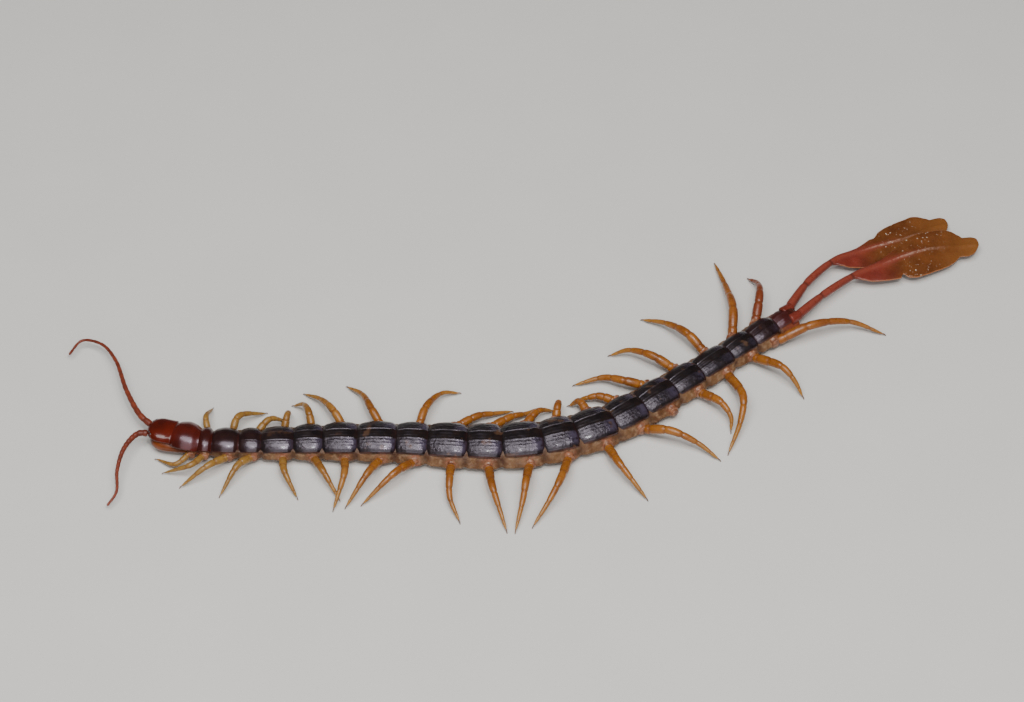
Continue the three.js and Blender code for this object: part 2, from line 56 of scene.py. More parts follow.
LIGHTS = {
    "top_light": {"place": (-0.02, -0.11, 0.45), "size": (0.5, 0.24), "power": 2.4},
    "front_light": {"place": (0, -0.38, 0.36), "size": (0.5, 0.5), "power": 1.25},
    "glint_light": {"place": (0.03, -0.19, 0.38), "size": (0.026, 0.026), "power": 0.4},
}
for name, light in LIGHTS.items():
    place = Vector(light["place"])
    aim = (-place).to_track_quat("-Z", "Y").to_euler()
    bpy.ops.object.light_add(type="AREA", location=place, rotation=aim)
    lamp = bpy.context.object
    lamp.name = name
    lamp.data.shape = "ELLIPSE"
    lamp.data.size, lamp.data.size_y = light["size"]
    lamp.data.energy = light["power"]

SKY = {"Color": (0.85, 0.9, 1, 1), "Strength": 0.08}
sky = bpy.data.worlds.new("studio_sky")
sky.use_nodes = True
for socket, value in SKY.items():
    sky.node_tree.nodes["Background"].inputs[socket].default_value = value
bpy.context.scene.world = sky


# The table: one plain, pale, matt top under the model, a little uneven in tone. It belongs to the
# stage and not to the part.
TABLE_SIZE = 4


def material(name, **sockets):
    """A material whose shader has these settings, with its node tree."""
    made = bpy.data.materials.new(name)
    made.use_nodes = True
    shader = made.node_tree.nodes["Principled BSDF"]
    for socket, value in sockets.items():
        shader.inputs[socket.replace("_", " ")].default_value = value
    return made, made.node_tree, shader


def node(tree, kind, settings=None, **inputs):
    """A node with its settings, whose inputs are values or the outputs of other nodes."""
    made = tree.nodes.new(kind)
    for setting, value in (settings or {}).items():
        setattr(made, setting, value)
    for socket, value in inputs.items():
        target = made.inputs[int(socket[1:]) if socket[0] == "i" and socket[1:].isdigit() else socket]
        if isinstance(value, bpy.types.NodeSocket):
            tree.links.new(value, target)
        else:
            target.default_value = value
    return made


def mix(tree, amount, first, second):
    """The colour between two colours."""
    return node(tree, "ShaderNodeMix", {"data_type": "RGBA"}, i0=amount, i6=first, i7=second).outputs[2]


def grain(tree, scale, detail=3.0):
    """Noise over the object's own coordinates, from 0 to 1, in patches of 1/scale metres."""
    spot = node(tree, "ShaderNodeTexCoord").outputs["Object"]
    return node(tree, "ShaderNodeTexNoise", Vector=spot, Scale=scale, Detail=detail).outputs["Fac"]


def coloured(tree, shader, colour):
    """Gives the surface this colour or pattern of colours."""
    tree.links.new(colour, shader.inputs["Base Color"])


table_top, tree, shader = material("pale_table", Roughness=0.75)
pale = mix(tree, grain(tree, 60), (0.6, 0.575, 0.54, 1), (0.65, 0.62, 0.59, 1))
coloured(tree, shader, pale)
bpy.ops.mesh.primitive_plane_add(size=TABLE_SIZE)
table = bpy.context.object
table.name = "table"
table.data.materials.append(table_top)


# The soft skin of the trunk: one leathery tube of pinkish tan between the back and belly plates,
# which bulges at each leg's socket and creases where two segments meet, with painted shade darkening
# those creases. It follows one curved line.
# Places are in millimetres, and the model's origin is at MIDDLE.
MM = 0.001
MIDDLE = Vector((2.743, 13.711, 0))
BODY_LINE = [
    (-49, 1.8), (-45.5, 0.9), (-42, 0), (-33.7, -0.25), (-25, 0), (-15.5, 0), (-6, -0.5), (-1.5, -0.55),
    (4, 0.1), (8.1, 1.2), (13, 3.2), (17, 5.7), (25, 11.7), (32.5, 17.5), (39.4, 22.9),
]
HEAD_LENGTH = 3.7
SEGMENT_LENGTHS = [
    3.5, 1.7, 3.65, 3.0, 4.35, 3.85, 4.6,
    5.2, 4.3, 5.25, 4.6, 5.4, 4.6, 5.4,
    4.8, 5.3, 4.8, 5.35, 4.3, 4.15, 3.75,
]
HALF_WIDTHS = [
    2.55, 2.1, 2.15, 2.15, 2.3, 2.5, 2.65,
    2.75, 2.75, 2.9, 2.95, 2.95, 2.9, 2.75,
    2.6, 2.4, 2.15, 1.95, 1.8, 1.75, 1.35,
]
HOOD = {"overhang": 0.5, "drop": 0.4}
PLATE_TOP = {"base": 2, "rise": 0.7, "arch": 0.42}
BELLY_HEIGHT = 0.75
SOCKET = {"height": 1.5, "reach": 0.3, "first": 0.82, "second": 0.57, "others": 0.66}
FLANK_SWELL = {"front": 0.1, "gain": 0.55, "from": 6, "over": 3}
SEGMENTS = len(SEGMENT_LENGTHS)
UP = Vector((0, 0, 1))


def distances_along(places):
    """The distance of each place from the first, by way of those between."""
    distances = [0]
    for first, second in zip(places, places[1:]):
        distances.append(distances[-1] + (second - first).length)
    return distances


def smooth_line(points, steps=30):
    """A smooth line through the points, as closely spaced places with their distance from its start."""
    knots = [Vector(point).to_3d() for point in points]
    knots = [2 * knots[0] - knots[1], *knots, 2 * knots[-1] - knots[-2]]
    places = []
    for before, start, end, after in zip(knots, knots[1:], knots[2:], knots[3:]):
        pairs = (before, start), (start, end), (end, after)
        back, span, ahead = (math.sqrt((far - near).length) for near, far in pairs)
        leave = span * ((start - before) / back - (end - before) / (back + span) + (end - start) / span)
        arrive = span * ((end - start) / span - (after - start) / (span + ahead) + (after - end) / ahead)
        for step in range(steps):
            t = step / steps
            bend = (2 * t**3 - 3 * t**2 + 1) * start + (3 * t**2 - 2 * t**3) * end
            places.append(bend + (t**3 - 2 * t**2 + t) * leave + (t**3 - t**2) * arrive)
    places.append(knots[-2])
    return places, distances_along(places)


def spot_on(line, distance):
    """The place at a distance along a line, and the direction there."""
    places, distances = line
    index = 0
    while index < len(places) - 2 and distances[index + 1] < distance:
        index += 1
    step = places[index + 1] - places[index]
    share = (distance - distances[index]) / step.length
    before, after = places[max(index - 1, 0)], places[min(index + 2, len(places) - 1)]
    early, late = (places[index + 1] - before).normalized(), (after - places[index]).normalized()
    return places[index] + share * step, early.lerp(late, min(max(share, 0), 1)).normalized()


def slope_at(stops, index):
    """How steeply a smooth line passes a stop: level at a peak or a trough, and at both ends."""
    if index in (0, len(stops) - 1):
        return 0
    (back, low), (spot, height), (ahead, high) = stops[index - 1:index + 2]
    before, after = (height - low) / (spot - back), (high - height) / (ahead - spot)
    return 2 * before * after / (before + after) if before * after > 0 else 0


def profile_at(value, stops):
    """The height at a place on the smooth line through these stops of (place, height)."""
    index = bisect.bisect([spot for spot, _ in stops], value) - 1
    if index < 0:
        return stops[0][1]
    if index >= len(stops) - 1:
        return stops[-1][1]
    (start, low), (end, high) = stops[index:index + 2]
    span = end - start
    t = (value - start) / span
    height = low + (high - low) * t * t * (3 - 2 * t)
    return height + span * t * (1 - t) * ((1 - t) * slope_at(stops, index) - t * slope_at(stops, index + 1))


body_line = smooth_line(BODY_LINE)
body_length = body_line[1][-1]
segment_start = [HEAD_LENGTH + sum(SEGMENT_LENGTHS[:index]) for index in range(SEGMENTS)]


@functools.cache
def body_frame(distance):
    """The place on the body's line at a distance from the front of the head: rearward and to the right."""
    centre, rearward = spot_on(body_line, distance)
    return centre, rearward, UP.cross(rearward)


def from_body(distance, hand, outward, up, forward=0):
    """A place beside the body's line: hand is -1 for the left and 1 for the right."""
    centre, rearward, right = body_frame(distance)
    return centre + hand * outward * right + up * UP - forward * rearward


def bell(offset, breadth):
    """From 1 at a place to 0 away from it, over this breadth on both sides."""
    return math.exp(-(offset / breadth) ** 2)


def segment_middle(index):
    return segment_start[index] + SEGMENT_LENGTHS[index] / 2


def plate_top(index):
    return PLATE_TOP["base"] + PLATE_TOP["rise"] * HALF_WIDTHS[index]


def plate_margin(index):
    return plate_top(index) - PLATE_TOP["arch"] * HALF_WIDTHS[index] - (HOOD["drop"] if index == 0 else 0)


def flank_swell(index):
    """How far the skin bulges past the plates, which is more behind the first segments."""
    share = min(max((index - FLANK_SWELL["from"]) / FLANK_SWELL["over"], 0), 1)
    return FLANK_SWELL["front"] + FLANK_SWELL["gain"] * share


def flank_half_width(index):
    return HALF_WIDTHS[index] - (HOOD["overhang"] if index == 0 else 0)


def leg_distance(index):
    """How far along the body a pair of legs stands."""
    share = {0: SOCKET["first"], 1: SOCKET["second"]}.get(index, SOCKET["others"])
    return segment_start[index] + share * SEGMENT_LENGTHS[index]


def from_legs(distance):
    """How far a place along the body is from each pair of legs."""
    return [distance - leg_distance(index) for index in range(SEGMENTS - 1)]


def between_segments(distance, size_of):
    """A size that each segment has, blended along the body."""
    return profile_at(distance, [(segment_middle(index), size_of(index)) for index in range(SEGMENTS)])


def ramp(tree, value, low, high):
    """The share of the way that a value is from low to high, cut off at 0 and 1."""
    limits = {"From Min": low, "From Max": high}
    return node(tree, "ShaderNodeMapRange", Value=value, **limits).outputs["Result"]


def patchy(tree, scale, detail, low=0.35, high=0.7):
    """From 0 to 1 in patches of about 1/scale metres, with harder edges the closer low and high are."""
    return ramp(tree, grain(tree, scale, detail), low, high)


def worn(tree, shader, scale, smooth, rough):
    """Gloss that varies in patches, between these two roughnesses."""
    patches = patchy(tree, scale, 4, 0.3, 0.7)
    varied = node(tree, "ShaderNodeMapRange", Value=patches, **{"To Min": smooth, "To Max": rough})
    tree.links.new(varied.outputs["Result"], shader.inputs["Roughness"])


def bump(tree, shader, height, depth, strength):
    """Relief of this depth in metres under the shader."""
    relief = node(tree, "ShaderNodeBump", Height=height, Distance=depth, Strength=strength)
    tree.links.new(relief.outputs["Normal"], shader.inputs["Normal"])


def attribute(tree, name):
    """The number that a piece keeps for each vertex under this name."""
    return node(tree, "ShaderNodeAttribute", {"attribute_name": name}).outputs["Fac"]


def product(tree, first, second):
    """One number times another."""
    return node(tree, "ShaderNodeMath", {"operation": "MULTIPLY"}, i0=first, i1=second).outputs[0]


def mark(piece, name, values):
    """Keeps a number for each vertex under this name, for the piece's material."""
    piece.data.attributes.new(name, "FLOAT", "POINT").data.foreach_set("value", values)


def drawn_out(name, sides, rings, place, marks=()):
    """A ball whose rings run from pole to pole, drawn out so that each vertex sits at place(ring, angle)."""
    bpy.ops.object.select_all(action="DESELECT")
    bpy.ops.mesh.primitive_uv_sphere_add(segments=sides, ring_count=rings, radius=1)
    piece = bpy.context.object
    piece.name = piece.data.name = name
    spots = []
    for vertex in piece.data.vertices:
        ring = round(math.acos(min(max(vertex.co.z, -1), 1)) / math.pi * rings)
        spots.append((ring, math.atan2(vertex.co.y, vertex.co.x)))
        vertex.co = MM * (place(*spots[-1]) - MIDDLE)
    for mark_name, value in dict(marks).items():
        mark(piece, mark_name, [value(*spot) for spot in spots])
    bpy.ops.object.mode_set(mode="EDIT")
    bpy.ops.mesh.select_all(action="SELECT")
    bpy.ops.mesh.normals_make_consistent(inside=False)
    bpy.ops.object.mode_set(mode="OBJECT")
    bpy.ops.object.shade_smooth()
    return piece


def finished(piece, finish, *nodes):
    """A piece with its finish, riding on the model and standing for these solids."""
    piece.data.materials.clear()
    piece.data.materials.append(finish)
    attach(piece, "root")
    if nodes:
        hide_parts(*nodes)


def closing(ring, rings, over):
    """From 0 at a ball's poles to 1 over this many rings, for rounded ends."""
    share = min(min(ring, rings - ring) / over, 1)
    return math.sqrt(1 - (1 - share) ** 2)


SKIN_START, SKIN_END = HEAD_LENGTH - 0.4, body_length - 0.1
SKIN_RINGS, SKIN_SIDES = 480, 64
SKIN_PINCH = [0.45, 0.4, 0.15]
# The creases sink by depth over breadth; painted shade darkens them over a wider stretch, more so high on the
# flank.
SKIN_CREASE = {"depth": 0.3, "breadth": 0.35, "shade_breadth": 0.55}
SKIN_CREASE_SHADE = [(0.35, 0), (0.6, 1)]
SKIN_FOLDS = {0.9: 0.16, 2.2: 0.09, 5: 0.03}
SKIN_MIDDLE_HEIGHT = 2.2
SOCKET_BULGE = {"height": 0.32, "breadth": 0.7, "drop": 0.3, "rise": 0.5, "pink_breadth": 0.8}


def skin_distance(ring):
    """How far along the body a ring of the skin lies."""
    return SKIN_START + ring / SKIN_RINGS * (SKIN_END - SKIN_START)


@functools.cache
def skin_outline(distance):
    """Half of the skin's cross-section, from the belly up to the middle of the back."""
    pinch = between_segments(distance, lambda index: SKIN_PINCH[index] if index < len(SKIN_PINCH) else 0)
    half = between_segments(distance, flank_half_width) - pinch
    swell = between_segments(distance, flank_swell)
    margin, top = between_segments(distance, plate_margin), between_segments(distance, plate_top)
    crease = max(bell(distance - start, SKIN_CREASE["breadth"]) for start in segment_start)
    side = half + swell - SKIN_CREASE["depth"] * crease
    bulge, fold = BELLY_HEIGHT + 0.55, margin - 0.2
    belly = [
        (0, BELLY_HEIGHT + 0.05), (0.55 * half, BELLY_HEIGHT + 0.1 * crease),
        (side - 0.45, BELLY_HEIGHT + 0.14)]
    flank = [(side, bulge), (0.5 * (side + half), 0.5 * (bulge + fold)), (half - 0.25, fold)]
    back = [(0.7 * half, top - 1), (0, top - 0.75)]
    return smooth_line([(outward, up, 0) for outward, up in belly + flank + back], steps=8)[0]


def skin_place(ring, angle):
    """Round the tube, with a bulge where each leg stands, and fine uneven folds."""
    distance = skin_distance(ring)
    outline = skin_outline(distance)
    reach = abs(angle) / math.pi * (len(outline) - 1)
    low = outline[min(int(reach), len(outline) - 2)]
    high = outline[min(int(reach) + 1, len(outline) - 1)]
    outward, up, _ = low.lerp(high, reach - int(reach))
    hand = 1 if angle > 0 else -1
    bulge = sum(bell(offset, SOCKET_BULGE["breadth"]) for offset in from_legs(distance))
    bulge *= SOCKET_BULGE["height"] * bell(up - SOCKET["height"] + SOCKET_BULGE["drop"], SOCKET_BULGE["rise"])
    spot = Vector((distance, hand * outward, up))
    folds = sum(depth * noise.noise(spot * scale) for scale, depth in SKIN_FOLDS.items())
    folds *= math.sin(abs(angle))
    narrow = closing(ring, SKIN_RINGS, 4)
    height = SKIN_MIDDLE_HEIGHT + (up - SKIN_MIDDLE_HEIGHT) * narrow
    return from_body(distance, hand, (outward + bulge + folds) * narrow, height)


skin_finish, tree, shader = material(
    "soft_skin", Specular_IOR_Level=0.25, Subsurface_Weight=0.15, Subsurface_Radius=(1, 0.45, 0.3),
    Subsurface_Scale=0.0006)
tan = mix(tree, patchy(tree, 620, 5, 0.38, 0.62), (0.17, 0.088, 0.04, 1), (0.095, 0.04, 0.017, 1))
tan = mix(tree, patchy(tree, 1500, 3, 0.5, 0.7), tan, (0.21, 0.125, 0.068, 1))
pink = ramp(tree, attribute(tree, "socket"), 0.1, 0.9)
tan = mix(tree, product(tree, pink, patchy(tree, 2400, 2, 0.35, 0.65)), tan, (0.26, 0.09, 0.05, 1))
tan = mix(tree, attribute(tree, "ruddy"), tan, (0.17, 0.04, 0.018, 1))
# Painted shade: the skin is darkened to a deep brown in the creases between segments, high on the flank.
crease = product(tree, attribute(tree, "crease"), 0.75)
coloured(tree, shader, mix(tree, crease, tan, (0.045, 0.018, 0.01, 1)))
worn(tree, shader, 1500, 0.34, 0.62)
bump(tree, shader, grain(tree, 1800, 6), 0.00016, 0.8)


def near_socket(ring, angle):
    """From 1 where a pair of legs stands to 0 between two pairs."""
    return max(bell(offset, SOCKET_BULGE["pink_breadth"]) for offset in from_legs(skin_distance(ring)))


def at_ends(ring, angle):
    """From 1 at both ends of the trunk, where the skin is red, to 0 between them."""
    second, third, last = (segment_start[index] for index in (1, 2, -1))
    return 1 - profile_at(skin_distance(ring), [(second, 0), (third + 0.8, 1), (last - 1, 1), (last + 2, 0)])


def shaded_crease(ring, angle):
    """Painted shade: from 1 between two segments, high on the flank, to 0 elsewhere."""
    distance = skin_distance(ring)
    in_gap = max(bell(distance - start, SKIN_CREASE["shade_breadth"]) for start in segment_start)
    return in_gap * profile_at(abs(angle) / math.pi, SKIN_CREASE_SHADE)


trunk_nodes = sorted(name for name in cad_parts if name.startswith("trunk_"))
trunk_skin = drawn_out(
    "trunk_skin", SKIN_SIDES, SKIN_RINGS, skin_place,
    {"socket": near_socket, "ruddy": at_ends, "crease": shaded_crease})
finished(trunk_skin, skin_finish, *trunk_nodes)


# The back plates: 21 hard, arched shields, smooth and red-brown in front, and black behind, with fine
# keels along them, a thin brown rim and a painted violet sheen on their side slopes. Each lies on the
# skin, and its rear edge laps over the next.
PLATE_THICKNESS = 0.15
PLATE_LAP = 0.22
PLATE_CELLS = (44, 96)
PLATE_EDGE = {"share": 0.3, "segments": 2, "sharper_than": 1}
PLATE_CORNERS = 0.07
PLATE_REDNESS = [1, 0.6, 0.16, 0.08, 0.03, *[0.0] * 14, 0.1, 0.5]
REAR_RED = {"front_plates": 4, "front": 0.35, "others": 0.1, "from": 0.8, "length": 0.2}
PLATE_SPREAD = [(0, 0.87), (0.14, 0.94), (0.5, 1), (0.8, 0.99), (0.93, 0.96), (1, 0.9)]
PLATE_SINK = [(0, 0.62), (0.14, 0.24), (0.45, 0), (0.7, 0.03), (0.9, 0.17), (1, 0.4)]
DOMED_SPREAD = [(0, 0.84), (0.2, 0.95), (0.5, 1), (0.8, 0.96), (1, 0.85)]
DOMED_SINK = [(0, 0.58), (0.2, 0.2), (0.5, 0), (0.8, 0.14), (1, 0.45)]
HOOD_SPREAD = [(0, 0.78), (0.2, 0.89), (0.45, 0.94), (0.75, 0.9), (0.93, 0.83), (1, 0.77)]
HOOD_SINK = [(0, 0.28), (0.2, 0.02), (0.45, -0.12), (0.75, 0.04), (1, 0.42)]
HOOD_RAISED = 0.35
PLATE_ARCH = [(0, 1), (0.24, 0.985), (0.3, 0.95), (0.62, 0.7), (0.85, 0.42), (0.97, 0.12), (1, 0)]
KEELS = {0.09: 0.02, 0.27: 0.07, 0.42: 0.015, 0.57: 0.02, 0.72: 0.015}
KEEL_BREADTH = 0.022
PLATE_LUMPS = 0.035
PLATE_RIM = {"height": 0.05, "place": 0.96, "breadth": 0.02}
# Plates count from 0 here: the keels set in behind plate 2 and are full 4 plates on, and the painted
# violet sheen on the side slopes fades from plate 14 to the last.
CARVING = {"from": 2, "over": 4}
PAINTED_SHEEN_FADE = [(14, 1), (17, 0.45), (20, 0.35)]


def apply_modifier(piece, kind, **settings):
    """Adds a modifier with these settings and applies it."""
    bpy.context.view_layer.objects.active = piece
    added = piece.modifiers.new(kind.lower(), kind)
    for setting, value in settings.items():
        setattr(added, setting, value)
    bpy.ops.object.modifier_apply(modifier=added.name)


def spread_sheet(name, cells, place, thickness, marks=()):
    """A thin plate whose upper face has each vertex at place(along, across), both from -1 to 1."""
    bpy.ops.object.select_all(action="DESELECT")
    bpy.ops.mesh.primitive_grid_add(x_subdivisions=cells[0], y_subdivisions=cells[1], size=2)
    piece = bpy.context.object
    piece.name = piece.data.name = name
    spots = [(vertex.co.x, vertex.co.y) for vertex in piece.data.vertices]
    for vertex, spot in zip(piece.data.vertices, spots):
        vertex.co = MM * (place(*spot) - MIDDLE)
    for mark_name, value in dict(marks).items():
        mark(piece, mark_name, [value(*spot) for spot in spots])
    apply_modifier(piece, "SOLIDIFY", thickness=thickness * MM, offset=-1, use_even_offset=True)
    apply_modifier(
        piece, "BEVEL", width=PLATE_EDGE["share"] * thickness * MM, segments=PLATE_EDGE["segments"],
        limit_method="ANGLE", angle_limit=PLATE_EDGE["sharper_than"])
    bpy.ops.object.shade_smooth()
    return piece


def plate_carving(index):
    """From 0 on the smooth, polished front plates to 1 on the keeled and granular ones behind."""
    return min(max((index - CARVING["from"]) / CARVING["over"], 0), 1)


def back_plate_place(index, along, across):
    """The upper face of a plate: arched across, sunk at both ends, and keeled where it is carved."""
    wide = HALF_WIDTHS[index]
    top, margin = plate_top(index), plate_margin(index) + (HOOD_RAISED if index == 0 else 0)
    share = (along + 1) / 2
    half_length = SEGMENT_LENGTHS[index] / 2 + PLATE_LAP
    distance = segment_middle(index) + along * half_length * (1 - PLATE_CORNERS * abs(across) ** 5)
    carved = plate_carving(index)
    smooth_spread, smooth_sink = (HOOD_SPREAD, HOOD_SINK) if index == 0 else (DOMED_SPREAD, DOMED_SINK)
    spread, sink = (
        (1 - carved) * profile_at(share, smooth) + carved * profile_at(share, keeled)
        for smooth, keeled in ((smooth_spread, PLATE_SPREAD), (smooth_sink, PLATE_SINK)))
    outward = wide * spread * across
    ridge = sum(height * bell(abs(across) - place, KEEL_BREADTH) for place, height in KEELS.items())
    ridge *= carved * (1 - along**6)
    lumps = PLATE_LUMPS * carved * noise.noise(Vector((distance * 1.1, outward * 1.3, index)))
    rim = PLATE_RIM["height"] * carved * bell(abs(across) - PLATE_RIM["place"], PLATE_RIM["breadth"])
    dome = 1 - abs(across) ** 2.4
    arch = dome + carved * (profile_at(abs(across), PLATE_ARCH) - dome)
    up = margin + (top - margin) * arch - sink + rim + ridge + lumps
    return from_body(distance, 1, outward, up)


def plate_red(index, along):
    """How red a plate is: the front ones all over, and each a little more along its rear edge."""
    rear = REAR_RED["front" if index < REAR_RED["front_plates"] else "others"]
    return min(1, PLATE_REDNESS[index] + rear * max(0, along - REAR_RED["from"]) / REAR_RED["length"])


def between(tree, amount, first, second):
    """The number between two numbers."""
    return node(tree, "ShaderNodeMix", {"data_type": "FLOAT"}, i0=amount, i2=first, i3=second).outputs[0]


plate_finish, tree, shader = material(
    "back_plates", Specular_IOR_Level=0.5, Specular_Tint=(0.95, 0.84, 1, 1), Coat_Weight=0.1,
    Coat_Roughness=0.1)
along, across, red, carved, painted_sheen_share = (
    attribute(tree, name) for name in ("along", "across", "red", "carved", "painted_violet_sheen"))
black = mix(tree, patchy(tree, 900, 4, 0.4, 0.7), (0.006, 0.004, 0.004, 1), (0.014, 0.008, 0.006, 1))
# Painted sheen: the violet on the side slopes, patchy and stronger towards the rear, and the brighter violet
# band on the rear half of each slope stand for light reflected off the glossy horn.
painted_sheen_slope = product(tree, painted_sheen_share, product(tree, ramp(tree, across, 0.27, 0.32), ramp(tree, across, 0.94, 0.76)))
painted_violet_sheen = mix(tree, patchy(tree, 2800, 3, 0.4, 0.62), (0.006, 0.004, 0.005, 1), (0.013, 0.009, 0.012, 1))
patches = product(tree, patchy(tree, 650, 3, 0.3, 0.5), ramp(tree, along, -1.6, 0.5))
black = mix(tree, product(tree, painted_sheen_slope, patches), black, painted_violet_sheen)
painted_sheen = product(tree, painted_sheen_slope, product(tree, ramp(tree, along, 0.3, 0.7), ramp(tree, along, 0.98, 0.88)))
painted_sheen = product(tree, painted_sheen, patchy(tree, 1700, 2, 0.25, 0.5))
black = mix(tree, painted_sheen, black, (0.045, 0.035, 0.055, 1))
smudges = product(tree, patchy(tree, 480, 2, 0.64, 0.7), carved)
black = mix(tree, smudges, black, (0.06, 0.03, 0.016, 1))
brown = product(tree, ramp(tree, across, 0.95, 0.985), patchy(tree, 800, 3, 0.3, 0.6))
black = mix(tree, brown, black, (0.07, 0.025, 0.014, 1))
reddish = mix(tree, patchy(tree, 350, 3), (0.09, 0.008, 0.003, 1), (0.04, 0.005, 0.002, 1))
coloured(tree, shader, mix(tree, red, black, reddish))
granules = patchy(tree, 2400, 4, 0.42, 0.7)
coarse = product(tree, ramp(tree, carved, -0.1, 0.7), ramp(tree, painted_sheen_slope, -0.35, 0.9))
granules = product(tree, granules, coarse)
granules = product(tree, granules, ramp(tree, along, 1.3, 0.1))
bump(tree, shader, granules, 0.00004, 0.9)
patches = patchy(tree, 1300, 4, 0.3, 0.7)
smooth_rear = ramp(tree, along, 0.15, 0.6)
rough = between(tree, smooth_rear, between(tree, patches, 0.28, 0.46), between(tree, patches, 0.15, 0.27))
tree.links.new(between(tree, ramp(tree, carved, 0, 0.8), 0.27, rough), shader.inputs["Roughness"])

for index in range(SEGMENTS):
    carving = plate_carving(index)
    painted_sheen_amount = carving * profile_at(index, PAINTED_SHEEN_FADE)
    plate = spread_sheet(
        f"back_plate_{index + 1:02d}", PLATE_CELLS, functools.partial(back_plate_place, index),
        PLATE_THICKNESS, {
            "along": lambda along, across: along,
            "across": lambda along, across: abs(across),
            "red": lambda along, across: plate_red(index, along),
            "carved": lambda along, across: carving,
            "painted_violet_sheen": lambda along, across: painted_sheen_amount,
        })
    finished(plate, plate_finish)


# The belly plates: 21 flat, smooth plates of pale brown horn, one to a segment. Each is set in the
# underside of the skin, narrows a little at both ends, and turns up slightly at its sides.
BELLY_PLATE = {"share": 0.62, "length": 0.86, "thickness": 0.1, "cells": (16, 20)}
BELLY_SHAPE = {"narrowing": 0.12, "drop": 0.06, "turned_up": 0.08}


def belly_plate_place(index, along, across):
    half_length = BELLY_PLATE["length"] * SEGMENT_LENGTHS[index] / 2
    corner = 1 - BELLY_SHAPE["narrowing"] * abs(along) ** 4
    outward = BELLY_PLATE["share"] * flank_half_width(index) * corner * across
    up = BELLY_HEIGHT - BELLY_SHAPE["drop"] + BELLY_SHAPE["turned_up"] * across**4
    return from_body(segment_middle(index) + along * half_length, -1, outward, up)


belly_finish, tree, shader = material("belly_plates", Coat_Weight=0.2)
coloured(tree, shader, mix(tree, patchy(tree, 450, 4), (0.3, 0.15, 0.07, 1), (0.2, 0.09, 0.04, 1)))
worn(tree, shader, 900, 0.28, 0.45)
bump(tree, shader, grain(tree, 2200, 3), 0.00003, 0.5)
for index in range(SEGMENTS):
    plate = spread_sheet(
        f"belly_plate_{index + 1:02d}", BELLY_PLATE["cells"], functools.partial(belly_plate_place, index),
        BELLY_PLATE["thickness"])
    finished(plate, belly_finish)


# The leg sockets: a stiff reddish cuff of granular horn round the root of each leg. It is sunk in the
# flank, narrows outwards, and has a groove and then a lip, each given by height, place and breadth.
CUFF = {"inner": 0.84, "outer": 0.6, "depth": 1.1, "uneven": 0.1, "rings": 20, "sides": 28}
CUFF_RIDGES = [(0.05, 0.8, 0.1), (-0.05, 0.55, 0.08)]
LEG_GIRTH = {"front": 0.86, "gain": 0.014}
HANDS = ((-1, "left"), (1, "right"))


def leg_girth(index):
    """How thick a leg and its cuff are, which grows towards the tail."""
    return LEG_GIRTH["front"] + LEG_GIRTH["gain"] * index


def socket_end(index):
    """How far from the body's middle line a cuff ends."""
    return flank_half_width(index) + flank_swell(index) + SOCKET["reach"]


def cuff_place(index, hand, ring, angle):
    share = ring / CUFF["rings"]
    radius = CUFF["inner"] + (CUFF["outer"] - CUFF["inner"]) * share
    radius += sum(height * bell(share - place, breadth) for height, place, breadth in CUFF_RIDGES)
    radius *= leg_girth(index)
    radius *= closing(ring, CUFF["rings"], 4)
    spot = Vector((3 * index + hand, 2 * math.sin(angle), 2 * math.cos(angle) + 3 * share))
    radius *= 1 + CUFF["uneven"] * noise.noise(spot)
    outward = socket_end(index) - CUFF["depth"] * (1 - share)
    up = SOCKET["height"] + radius * math.sin(angle)
    return from_body(leg_distance(index), hand, outward, up, radius * math.cos(angle))


cuff_finish, tree, shader = material("leg_cuffs", Specular_IOR_Level=0.4)
tan = mix(tree, patchy(tree, 1500, 3, 0.4, 0.62), (0.25, 0.1, 0.05, 1), (0.12, 0.04, 0.018, 1))
tan = mix(tree, patchy(tree, 2600, 2, 0.55, 0.7), tan, (0.32, 0.17, 0.1, 1))
coloured(tree, shader, tan)
worn(tree, shader, 2000, 0.26, 0.5)
bump(tree, shader, grain(tree, 2600, 3), 0.0001, 0.9)
for index in range(SEGMENTS - 1):
    for hand, side_name in HANDS:
        cuff = drawn_out(
            f"leg_cuff_{side_name}_{index + 1:02d}", CUFF["sides"], CUFF["rings"],
            functools.partial(cuff_place, index, hand))
        finished(cuff, cuff_finish)


# The head: one glossy red-brown shield, rounded in front and lapped by the first back plate behind.
# A fine groove runs along its crown, and its flatter underside closes over the mouthparts.
HEAD = {"top": 3.5, "margin": 2.7, "underside": 2.3, "half_width": 2, "rings": 56, "sides": 64}
HEAD_ENDS = {"rounded": 0.5, "start": 0.05, "lapped": 0.1, "rear_rise": 0.08}
HEAD_GROOVE = {"depth": 0.03, "breadth": 0.04}
CHIN_NARROWING = 0.05


def head_place(ring, angle):
    share = ring / HEAD["rings"]
    ahead = max(1 - share / HEAD_ENDS["rounded"], 0)
    bullet = (1 - ahead**2) ** 0.5
    dome = (1 - ahead**2.6) ** 0.5
    rear = profile_at(share, [(0.7, 0), (1, 1)])
    narrow = closing(max(ring, HEAD["rings"] / 2), HEAD["rings"], 2)
    wide = HEAD["half_width"] * bullet * narrow
    crown = ((HEAD["top"] - HEAD["margin"]) * dome + HEAD_ENDS["rear_rise"] * rear) * narrow
    mouth = (HEAD["margin"] - HEAD["underside"]) * dome * narrow
    outward, rise = math.cos(angle), math.sin(angle)
    flat = math.copysign(abs(rise) ** 1.08, rise)
    groove = HEAD_GROOVE["depth"] * bell(outward, HEAD_GROOVE["breadth"]) * max(rise, 0) * dome
    if rise < 0:
        wide *= 1 - CHIN_NARROWING * abs(rise)
    up = HEAD["margin"] + (crown * flat - groove if rise > 0 else mouth * flat)
    distance = HEAD_ENDS["start"] + share * (HEAD_LENGTH + HEAD_ENDS["lapped"])
    return from_body(distance, 1, wide * outward, up)


